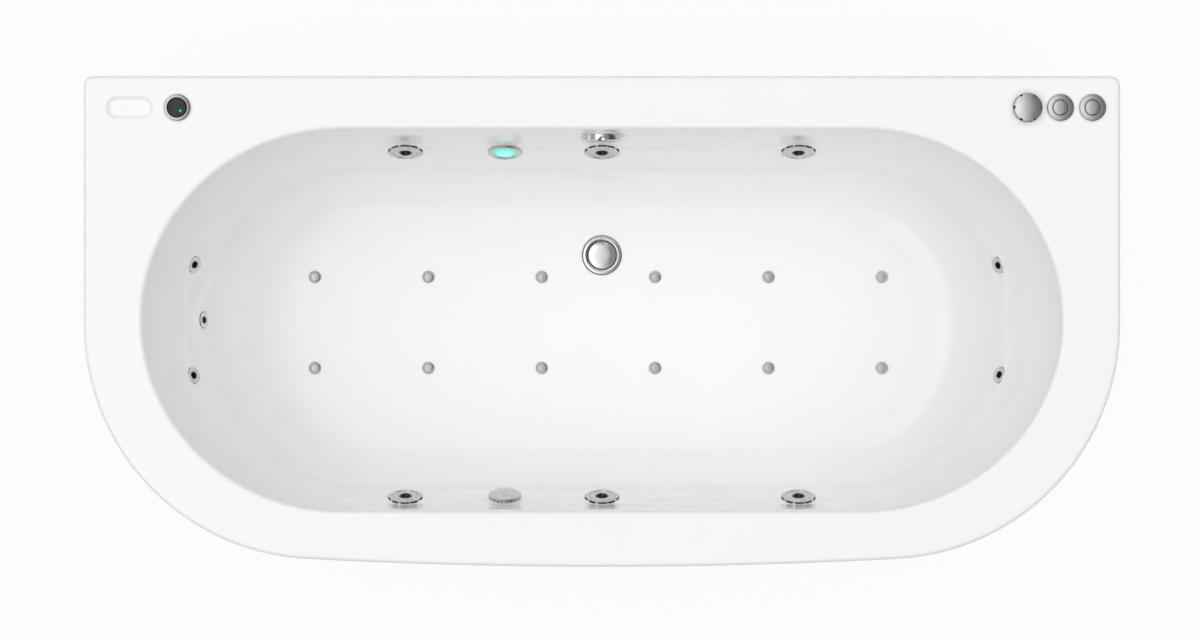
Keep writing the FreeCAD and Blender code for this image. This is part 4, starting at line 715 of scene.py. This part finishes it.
def dryShell():
    # the back of the moulding: lip, deck underside, and the well's outside with a flat for each lock nut
    outer, outerNormals = outlinePath(2.0 * tub["step"])
    direction = raysTo(outer)
    rim, wall = tub["rim"], tub["wall"]
    under = rim - wall
    lipProfile = softProfile([(-wall, rim - tub["lip"] + tub["lipInside"], 0), (-wall, under, 4),
                              (-wall - tub["backStrip"], under, 0)])
    lip = carry(lipProfile, outer, outerNormals)
    lipRows = lip[0].reshape(len(lipProfile), len(outer), 3)
    shares = wallRows(tub["backRows"])
    stretch = (rim - floorZ + wall) / tub["depth"]
    depth = np.repeat((shares * tub["depth"])[:, None], len(outer), axis=1)
    level = wellPoint(direction, depth, wall)
    well = seatBosses(atHeight(level, np.minimum(rim - depth * stretch, under)), "dry")
    middle = well[-1].copy()
    middle[:, :2] = wellMiddle + 0.5 * (middle[:, :2] - wellMiddle)
    hub = np.tile([[0, midY, floorZ - wall]], (len(outer), 1))
    rows = np.concatenate([lipRows, well, middle[None], hub[None]])
    points = rows.reshape(-1, 3)
    return points, fittingHoles(points, gridFaces(len(rows), len(outer)))


wetPiece()
addPiece("seatPads", seatPads(), "acrylic_white", "tub", sharp=seam["shellSharp"])
addPiece("tubBacking", dryShell(), "glassFibre", "tub", sharp=seam["shellSharp"])
print("shell made")


# fittings in the wall

def ringShape(size, seat, axis):
    # skirt over the flange, rounded shoulder, turned groove, and a lip round the ball
    top = size["gasket"] + size["flange"] + 0.3
    inner, ring, face, mouth = size["flangeRadius"] + 0.3, size["ring"], size["face"], size["mouth"]
    width = ring - mouth
    foot = size["gasket"] * 0.5
    corners = [
        (inner, foot, 0.2), (ring, foot, 0.3), (ring, face - 0.10 * width, 0.08 * width),
        (ring - 0.13 * width, face, 0.10 * width), (ring - 0.42 * width, face + 0.02 * width, 0.3),
        (ring - 0.45 * width, face - 0.04 * width, 0.2), (ring - 0.50 * width, face - 0.04 * width, 0.2),
        (ring - 0.53 * width, face, 0.3), (mouth + 0.06 * width, face, 0.04 * width),
        (mouth, face - 0.04 * width, 0.2), (mouth + 0.05 * width, top + 0.4, 0.2),
        (mouth + 0.12 * width, top, 0.2), (inner, top, 0.2),
    ]
    return spin(softProfile(corners, True), seat, axis, 128)


def nozzleShape(size, seat, axis):
    # ball with a flat front, a flared mouth and a narrow throat
    ball, bore, drop = size["ball"], size["bore"], size["drop"]
    front = size["face"] + 0.2 + drop
    rear = 0.75 * ball
    a0, a1 = -math.asin(rear / ball), math.asin(front / ball)
    sweep = np.linspace(a0, a1, 26)
    outside = ball * around(sweep) - np.array([0, drop])
    lipRadius, flat, throat = outside[-1, 0], front - drop, bore * 0.55
    inside = softProfile([(lipRadius, flat, 0), (lipRadius - 0.12 * bore, flat + 0.05, 0.05 * bore),
                          (bore * 1.32, flat - 0.2, 0.1 * bore), (bore, front * 0.5 - drop, 0.3 * bore),
                          (throat, -0.1 * ball - drop, 0.2 * bore), (throat, -rear - drop, 0)], parts=4)
    profile = np.concatenate([outside, inside[1:], outside[:1]])
    return spin(profile, seat, axis, 96)


suction = {"seat": 2.5, "cover": 27.5, "height": 5.5, "slots": 24, "slotShare": 0.17, "slotDepth": 4.0}
light = {"seat": 2.5, "lens": 19.0, "gap": 0.3, "bezel": 29.0}


def suctionShape(seat, axis):
    # domed cover whose edge is slotted all round
    low, cover, count = suction["seat"], suction["cover"], suction["slots"]
    high = low + suction["height"]
    start, end = low + 0.8, low + 0.8 + 0.5 * suction["height"]
    profile = softProfile([(0, low, 0), (cover, low, 0.3), (cover, start, 0.1), (cover, start + 0.05, 0.0),
                           (cover, end - 0.05, 0.0), (cover, end, 0.1), (cover, high - 1.6, 0.6),
                           (cover - 2.2, high, 1.6), (9.0, high + 0.7, 0.6), (8.4, high + 0.2, 0.2),
                           (7.6, high + 0.7, 0.2), (0, high + 0.9, 0)])

    def slots(radius, height, turn):
        # the radius is cut back inside each slot
        inSlot = np.abs((turn / (2 * math.pi) * count) % 1 - 0.5) < suction["slotShare"]
        between = (height > start + 0.02) & (height < end - 0.02) & (radius > cover - 1)
        return np.where(inSlot & between, radius - suction["slotDepth"], radius)

    return spin(profile, seat, axis, count * 10, slots)


def bezelProfile():
    # a ring with a rounded outer edge, which falls in towards the lens
    low, edge, bore = light["seat"], light["bezel"], light["lens"] + light["gap"]
    return softProfile([(bore, low, 0), (edge, low, 0.3), (edge, low + 1.5, 1.0),
                        (edge - 2.8, low + 3.5, 1.4), (bore + 1.7, low + 3.2, 0.8),
                        (bore, low + 2.3, 0.4)], True)


def lensProfile():
    # a low dome of wide arcs over a short upright edge
    low, lens = light["seat"], light["lens"]
    return softProfile([(0, low, 0), (lens, low, 0), (lens, low + 1.7, 0.5), (lens - 4.5, low + 2.7, 40.0),
                        (lens - 11.0, low + 3.25, 60.0), (0, low + 3.45, 0)])


def paintedSlotShade(centres, seat, axis, size):
    # the slots of painted shade round a ring's skirt and lower shoulder, with bridges between them; the skirt
    # is smooth, and these faces are painted dark for the shadow in its notches and at the gap to the wall
    side, rise = axisFrame(axis)[:2]
    lift, radial = seatOffsets(centres, seat, axis)
    turn = np.arctan2((centres - seat) @ side, (centres - seat) @ rise) / (2 * math.pi) * slotShade["slots"]
    width, edge = size["ring"] - size["mouth"], radial - size["ring"]
    atEdge = (edge > -slotShade["edge"] * width) & (edge < slotShade["slack"])
    onSkirt = (lift < size["face"] - slotShade["down"] * width) & (lift > slotShade["foot"] * size["gasket"])
    return atEdge & onSkirt & (np.abs(turn - np.round(turn)) < slotShade["share"])


def addNozzle(name, size, seat, axis):
    # the ball of one jet, on its own body
    body = "jet_nozzle_" + name
    addPiece("jetNozzle_" + name, nozzleShape(size, seat, axis), "nozzle_black", body, [body])


for name, (seat, axis) in sideSeats.items():
    body = "jet_ring_" + name
    shape = ringShape(sideJet, seat, axis)
    ringPiece = addPiece("jetRing_" + name, shape, "satin_metal", body, [body])
    centres = faceCentres(ringPiece)
    radial = seatOffsets(centres, seat, axis)[1]
    secondFinish(ringPiece, radial > sideJet["polished"] * sideJet["ring"], "chrome")
    # the skirt's slot faces are painted black as painted shade; no notch is cut
    secondFinish(ringPiece, paintedSlotShade(centres, seat, axis, sideJet), "black_plastic")
    addNozzle(name, sideJet, seat, axis)
shape = joined([ringShape(endJet, seat, axis) for seat, axis in endSeats.values()])
ringPiece = addPiece("smallJetRings", shape, "chrome", "tub", ["small_jet_rings"])
# painted shade in slots round the small rings' skirts
dark = [paintedSlotShade(faceCentres(ringPiece), seat, axis, endJet) for seat, axis in endSeats.values()]
secondFinish(ringPiece, np.any(dark, axis=0), "black_plastic")
for name, (seat, axis) in endSeats.items():
    addNozzle(name, endJet, seat, axis)
addPiece("lightBezel", spin(bezelProfile(), *lightSeat, 128), "satin_metal", "tub", ["light_bezel"])
addPiece("lightLens", spin(lensProfile(), *lightSeat, 96), "lens_turquoise", "tub", ["light_lens"])
addPiece("suctionCover", suctionShape(*suctionSeat), "satin_metal", "tub", ["suction_cover"])
print("wall fittings made")


# waste, overflow and floor jets

def wasteFlange():
    # rounded ring with its spigot, and the guide that holds the plug's stem
    base = np.array([0, drain["y"], floorZ])
    hole, rim, high = drain["hole"], drain["flange"], drain["height"]
    pipe = hole + drain["wall"]
    end = drain["spigotEnd"]
    ring = softProfile([(hole, end, 0), (pipe, end, 0), (pipe, 0, 0), (rim, 0, 0.2), (rim, high * 0.2, 0.5),
                        (rim - 2.0, high * 0.7, 3.0), (rim - 6.0, high, 9.0), (hole + 1.2, high * 0.7, 1.0),
                        (hole, 0.2, 1.0)], True, 8)
    (bore, edge), (low, top) = drain["guide"], drain["guideSpan"]
    guide = softProfile([(bore, low, 0), (edge, low, 0.6), (edge, top, 0.6), (bore, top, 0.3)], True)
    (start, reach), half = drain["spoke"], drain["spokeHalf"]
    plan = ((start, -half), (reach, -half), (reach, half), (start, half))
    corner = np.array([[r, w, z] for z in drain["spokeSpan"] for r, w in plan])
    sides = [[3, 2, 1, 0], [4, 5, 6, 7], [0, 1, 5, 4], [1, 2, 6, 5], [2, 3, 7, 6], [3, 0, 4, 7]]
    spokes = []
    for turn in (30, 150, 270):
        t = math.radians(turn)
        out, across = np.array([math.cos(t), math.sin(t), 0]), np.array([-math.sin(t), math.cos(t), 0])
        points = base + corner[:, :1] * out + corner[:, 1:2] * across + corner[:, 2:] * np.array(upward)
        spokes.append((points, sides))
    return joined([spin(ring, base, upward, 144), spin(guide, base, upward, 48)] + spokes)


def plugShape():
    # domed plug on its stem
    top, plug = drain["height"] * 0.7, drain["plug"]
    stem, end, under = drain["stem"], drain["stemEnd"], top - 5.0
    profile = softProfile([(0, end, 0), (stem, end, 0.8), (stem, under, 1.0), (plug - 3, under, 1.0),
                           (plug, top - 1.2, 0.8), (plug - 0.9, top - 0.3, 0.8),
                           (plug * 0.62, top + 1.5, 90.0), (0, top + 2.4, 0)], parts=9)
    return spin(profile, (0, drain["y"], floorZ), upward, 128)


def overflowKnob():
    # round cap with a hollow back, a shaft, and a finger notch cut in its upper edge
    seat, axis = overflowSeat
    knob, gap, shaft, end = overflow["knob"], overflow["gap"], overflow["shaft"], overflow["shaftEnd"]
    front = overflow["height"] + gap
    under, inner = front - overflow["frontWall"], knob - overflow["sideWall"]
    profile = softProfile([(0, end, 0), (shaft, end, 0.6), (shaft, under, 0.5), (inner, under, 0.5),
                           (inner, gap, 0.2), (knob, gap, 0.3), (knob, front - 1.2, 1.2),
                           (knob - 1.8, front, 1.2), (0, front + 0.6, 0)])
    piece = addPiece("overflowKnob", spin(profile, seat, axis, 160), "chrome", "overflow_knob",
                     ["overflow_knob"], seam["knobSharp"])
    low, high, notch = knob - overflow["notchDepth"], knob + 3.0, overflow["notch"]
    arch = softProfile([(0, low - 2.4, 0), (notch, low + 0.4, 0.3), (notch, high, 0), (0, high, 0)])
    notchShape = spin(arch, seat + axis * front, upward, 64)
    cutter = addPiece("notchCutter", notchShape, "chrome", "overflow_knob")
    cut = piece.modifiers.new("notch", "BOOLEAN")
    cut.operation, cut.solver, cut.object = "DIFFERENCE", "EXACT", cutter
    bpy.context.view_layer.update()
    finished = bpy.data.meshes.new_from_object(piece.evaluated_get(bpy.context.evaluated_depsgraph_get()))
    piece.modifiers.clear()
    piece.data = finished
    finished.set_sharp_from_angle(angle=math.radians(seam["knobSharp"]))
    bpy.data.objects.remove(cutter)


def airCaps():
    # low dome with a turned groove, on each floor jet
    radius, high = airJets["radius"], airJets["height"]
    stem, end = airJets["stem"], airJets["stemEnd"]
    profile = softProfile([(0, end, 0), (stem, end, 0.4), (stem, 0, 0), (radius, 0, 0.2),
                           (radius, high * 0.3, 0.5), (radius * 0.86, high * 0.72, 2.0),
                           (radius * 0.66, high * 0.93, 1.0), (radius * 0.60, high * 0.82, 0.2),
                           (radius * 0.54, high * 0.97, 0.4), (0, high * 1.05, 0)])
    return joined([spin(profile, (x, y, floorZ), upward, 64) for x, y in airPlaces])


flangePiece = addPiece("wasteFlange", wasteFlange(), "chrome", "tub", ["waste_flange"])
fromDrain = np.linalg.norm(faceCentres(flangePiece)[:, :2] - np.array([0, drain["y"]]), axis=1)
# the flange's outer edge is painted black: painted shade for the dark line round its rim, not a seal
secondFinish(flangePiece, fromDrain > drain["flange"] - drain["paintedShadeRim"], "rubber_black")
addPiece("wastePlug", plugShape(), "chrome", "waste_plug", ["waste_plug"])
overflowKnob()
addPiece("airJetCaps", airCaps(), "satin_metal", "tub", ["air_jet_caps"])
print("waste, overflow and floor jets made")


# deck controls

bezel = {"edge": 22.0, "height": 4.6, "gap": 0.3, "fall": 0.2}
caps = {"light": {"radius": 16.0, "rise": 5.0, "travel": 2.0, "dish": 0.3},
        "massage": {"radius": 12.5, "rise": 7.0, "travel": 4.0, "dish": -0.5},
        "air": {"radius": 12.5, "rise": 7.0, "travel": 4.0, "dish": -0.5}}
buttonStem = {"radius": 5.0, "end": -12.0}
pilot = {"radius": 2.0, "low": 3.5, "high": 5.8, "x": 5.5, "y": -5.5}
airKnob = {"radius": 23.4, "height": 14.0, "base": 3.0, "notches": 6, "notch": 3.2,
           "stem": 6.0, "stemEnd": -19.0, "gap": 0.3}


def deckSpin(corners, name, steps, closed=False, parts=5, shape=None):
    # a profile spun round the upright axis of one control
    place = (deck[name], deck["y"], tub["rim"])
    return spin(softProfile(corners, closed, parts), place, upward, steps, shape)


def bezelShape(name):
    # low cone that falls away from the button to a rounded edge
    bore, edge, low = caps[name]["radius"] + bezel["gap"], bezel["edge"], bezel["height"]
    high = low + bezel["fall"] * (edge - bore - 2.6)
    return deckSpin([(bore, 0, 0), (edge, 0, 0.2), (edge, low - 1.0, 0.8), (edge - 1.6, low, 1.2),
                     (bore + 1.0, high, 0.9), (bore, high - 0.8, 0.4)], name, 112, True)


def addButton(name, pieceName, body, finish):
    # button cap on its stem; dish sinks the middle
    cap = caps[name]
    radius, rise, dish, foot = cap["radius"], cap["rise"], cap["dish"], cap["travel"] + bezel["gap"]
    stem, end = buttonStem["radius"], buttonStem["end"]
    shape = deckSpin([(0, end, 0), (stem, end, 0.5), (stem, foot, 0.3), (radius, foot, 0.3),
                      (radius, rise - 0.6, 1.0), (radius * 0.86, rise + 0.1, 1.2),
                      (radius * 0.5, rise + 0.25 - dish, 120.0), (0, rise + 0.4 - dish, 0)],
                     name, 96, parts=8)
    addPiece(pieceName, shape, finish, body, [body])


def pilotShape():
    # a small round light, off the middle of its button
    radius, low, high = pilot["radius"], pilot["low"], pilot["high"]
    profile = softProfile([(0, low, 0), (radius, low, 0), (radius, high - 0.4, 0.5), (0, high, 0)])
    return spin(profile, (deck["light"] + pilot["x"], deck["y"] + pilot["y"], tub["rim"]), upward, 40)


def knobShape():
    # low knob with notches in its edge, on a smooth base
    radius, high, base, hollow = airKnob["radius"], airKnob["height"], airKnob["base"], airKnob["notch"]
    step = 2 * math.pi / airKnob["notches"]

    def notches(r, height, turn):
        # the radius is cut back to a round hollow at each notch
        away = (turn + step / 2) % step - step / 2
        centre = radius + 0.6
        chord = hollow ** 2 - (centre * np.sin(away)) ** 2
        limit = np.where(chord > 0, centre * np.cos(away) - np.sqrt(np.maximum(chord, 0)), 1e3)
        return np.where(height > base, np.minimum(r, np.broadcast_to(limit, r.shape)), r)

    skirt, stem, end, gap = radius + 0.5, airKnob["stem"], airKnob["stemEnd"], airKnob["gap"]
    return deckSpin([(0, end, 0), (stem, end, 0.5), (stem, gap, 0), (skirt, gap, 0.3),
                     (skirt, base - 0.1, 0.2), (radius, base - 0.05, 0), (radius, base + 0.05, 0),
                     (radius, high - 3.4, 1.0), (radius - 1.2, high - 2.3, 1.2),
                     (radius * 0.5, high + 0.1, 200.0), (0, high + 0.8, 0)],
                    "knob", 360, parts=8, shape=notches)


addPiece("deckBezels", joined([bezelShape(name) for name in caps]), "satin_metal", "tub", ["deck_bezels"])
addButton("light", "lightButton", "light_button", "nozzle_black")
addPiece("lightButtonLed", pilotShape(), "led_turquoise", "light_button", ["light_button_led"])
addButton("massage", "massageButton", "massage_button", "satin_metal")
addButton("air", "airspaButton", "airspa_button", "satin_metal")
knobPiece = addPiece("airControlKnob", knobShape(), "satin_metal", "air_control_knob", ["air_control_knob"])
secondFinish(knobPiece, faceCentres(knobPiece)[:, 2] < tub["rim"] + airKnob["base"] + 0.02, "black_plastic")
print("deck controls made")


# front panel

panel = {"inset": 12.0, "wall": 4.0, "top": 570.0, "backGap": 4.0, "step": 8.0}


def panelShape():
    # a thin rounded section carried along the outline's sides and front, closed at both ends
    outer, normals = outlinePath(panel["step"])
    half, top = tub["length"] / 2, panel["top"]
    keep = tub["width"] / 2 - panel["inset"] - panel["wall"] - panel["backGap"]
    start = int(np.argmax(outer[:, 0] < 1 - half))
    order = (np.arange(len(outer)) + start) % len(outer)
    path, pathNormals = outer[order], normals[order]
    sides = path[:, 1] < keep - 1
    path, pathNormals = path[sides], pathNormals[sides]
    path = np.concatenate([[[-half, keep]], path, [[half, keep]]])
    pathNormals = np.concatenate([[[-1.0, 0.0]], pathNormals, [[1.0, 0.0]]])
    out, inner = -panel["inset"], -panel["inset"] - panel["wall"]
    profile = softProfile([(out, 0.0, 1.0), (out, top, 1.6), (inner, top, 1.0), (inner, 0.0, 1.0)], True)
    points, faces = carry(profile, path, pathNormals, False)
    rows, cols = len(profile), len(path)
    ends = [list(range(0, (rows - 1) * cols, cols)), list(range(cols - 1, (rows - 1) * cols, cols))]
    return points, faces.tolist() + ends


addPiece("frontPanel", panelShape(), "acrylic_white", "tub", ["front_panel"],
         seam["shellSharp"])
print("front panel made")


# floor, light and camera

studio = {"floorSize": 14.0, "floorColor": (0.45, 0.45, 0.45), "floorRough": 0.8, "floorGlow": 0.86,
          "floorWhite": 1.07, "sky": 0.45, "skyLow": 0.05, "skySpan": (-0.1, 0.9), "sunPower": 2.24,
          "sunWide": 110.0, "sunFrom": (-0.07, 0.06, 1.0), "cameraHeight": 6.0, "lens": 109.85,
          "sensor": 36.0, "farEnd": 60.0, "shiftX": -0.0033, "shiftY": 0.0025,
          "mirrorSides": (1.5, 0.30), "mirrorSpan": (-0.30, 0.30),
          "mirrorSky": [(0.0, (0.60, 0.60, 0.61)), (0.28, (0.74, 0.74, 0.75)), (0.36, (0.30, 0.30, 0.31)),
                        (0.72, (0.26, 0.26, 0.27)), (0.83, (1.0, 1.0, 1.0))]}


def mixOf(tree, share, first, second):
    # one shader faded into another
    return addNode(tree, "ShaderNodeMixShader", {}, {"Fac": share, 1: first.outputs[0], 2: second.outputs[0]})


def studioFloor():
    # a floor that looks white to the camera and to metal, and keeps a soft shadow
    half = studio["floorSize"] / 2
    mesh = bpy.data.meshes.new("studioFloor")
    corners = [(-half, -half, 0), (half, -half, 0), (half, half, 0), (-half, half, 0)]
    mesh.from_pydata(corners, [], [(0, 1, 2, 3)])
    floor = newObject("studioFloor", mesh)
    material, tree, shader = newFinish("floorWhite", studio["floorColor"], studio["floorRough"])
    path = addNode(tree, "ShaderNodeLightPath")
    rays = {0: path.outputs["Is Camera Ray"], 1: path.outputs["Is Glossy Ray"]}
    seen = addNode(tree, "ShaderNodeMath", {}, rays)
    seen.operation = "MAXIMUM"
    share = addNode(tree, "ShaderNodeMath", {1: studio["floorGlow"]}, {0: seen.outputs[0]})
    share.operation = "MULTIPLY"
    glow = addNode(tree, "ShaderNodeEmission", {"Color": (1, 1, 1, 1), "Strength": studio["floorWhite"]})
    mix = mixOf(tree, share.outputs[0], shader, glow)
    feed(tree.nodes["Material Output"], {"Surface": mix.outputs[0]})
    mesh.materials.append(material)


def studioSky():
    # a plain sky for light, a striped one for metal to mirror, and a pale one for the camera
    world = bpy.data.worlds.new("studioSky")
    bpy.context.scene.world = world
    world.use_nodes = True
    tree = world.node_tree
    tree.nodes.clear()
    coord = addNode(tree, "ShaderNodeTexCoord")
    split = addNode(tree, "ShaderNodeSeparateXYZ", {}, {0: coord.outputs["Generated"]})
    rise = rangeOf(tree, split.outputs["Z"], studio["skyLow"], studio["sky"], *studio["skySpan"])
    across = rangeOf(tree, split.outputs["X"], *studio["mirrorSides"], *studio["mirrorSpan"])
    stripes = rampOf(tree, split.outputs["Z"], studio["mirrorSky"])
    lit = addNode(tree, "ShaderNodeBackground", {}, {"Strength": rise})
    mirrored = addNode(tree, "ShaderNodeBackground", {}, {"Strength": across, "Color": stripes})
    path = addNode(tree, "ShaderNodeLightPath")
    gloss = mixOf(tree, path.outputs["Is Glossy Ray"], lit, mirrored)
    pale = addNode(tree, "ShaderNodeBackground", {"Strength": 1.0})
    mix = mixOf(tree, path.outputs["Is Camera Ray"], gloss, pale)
    addNode(tree, "ShaderNodeOutputWorld", {}, {"Surface": mix.outputs[0]})


def studioSun():
    # a broad soft source; the chrome mirrors the sky instead of it
    lamp = bpy.data.lights.new("softSun", "SUN")
    lamp.energy, lamp.angle = studio["sunPower"], math.radians(studio["sunWide"])
    holder = newObject("softSun", lamp)
    holder.rotation_euler = Vector(studio["sunFrom"]).to_track_quat("Z", "Y").to_euler()
    holder.visible_glossy = False


def studioCamera():
    # straight down from above the rim
    camera = bpy.data.cameras.new("topCamera")
    camera.sensor_width, camera.lens = studio["sensor"], studio["lens"]
    camera.clip_end = studio["farEnd"]
    holder = newObject("topCamera", camera)
    holder.location = (studio["shiftX"], studio["shiftY"], tub["rim"] * toMetres + studio["cameraHeight"])
    bpy.context.scene.camera = holder


studioFloor()
studioSky()
studioSun()
studioCamera()
bpy.context.scene.view_settings.view_transform = "Standard"
print("studio made")
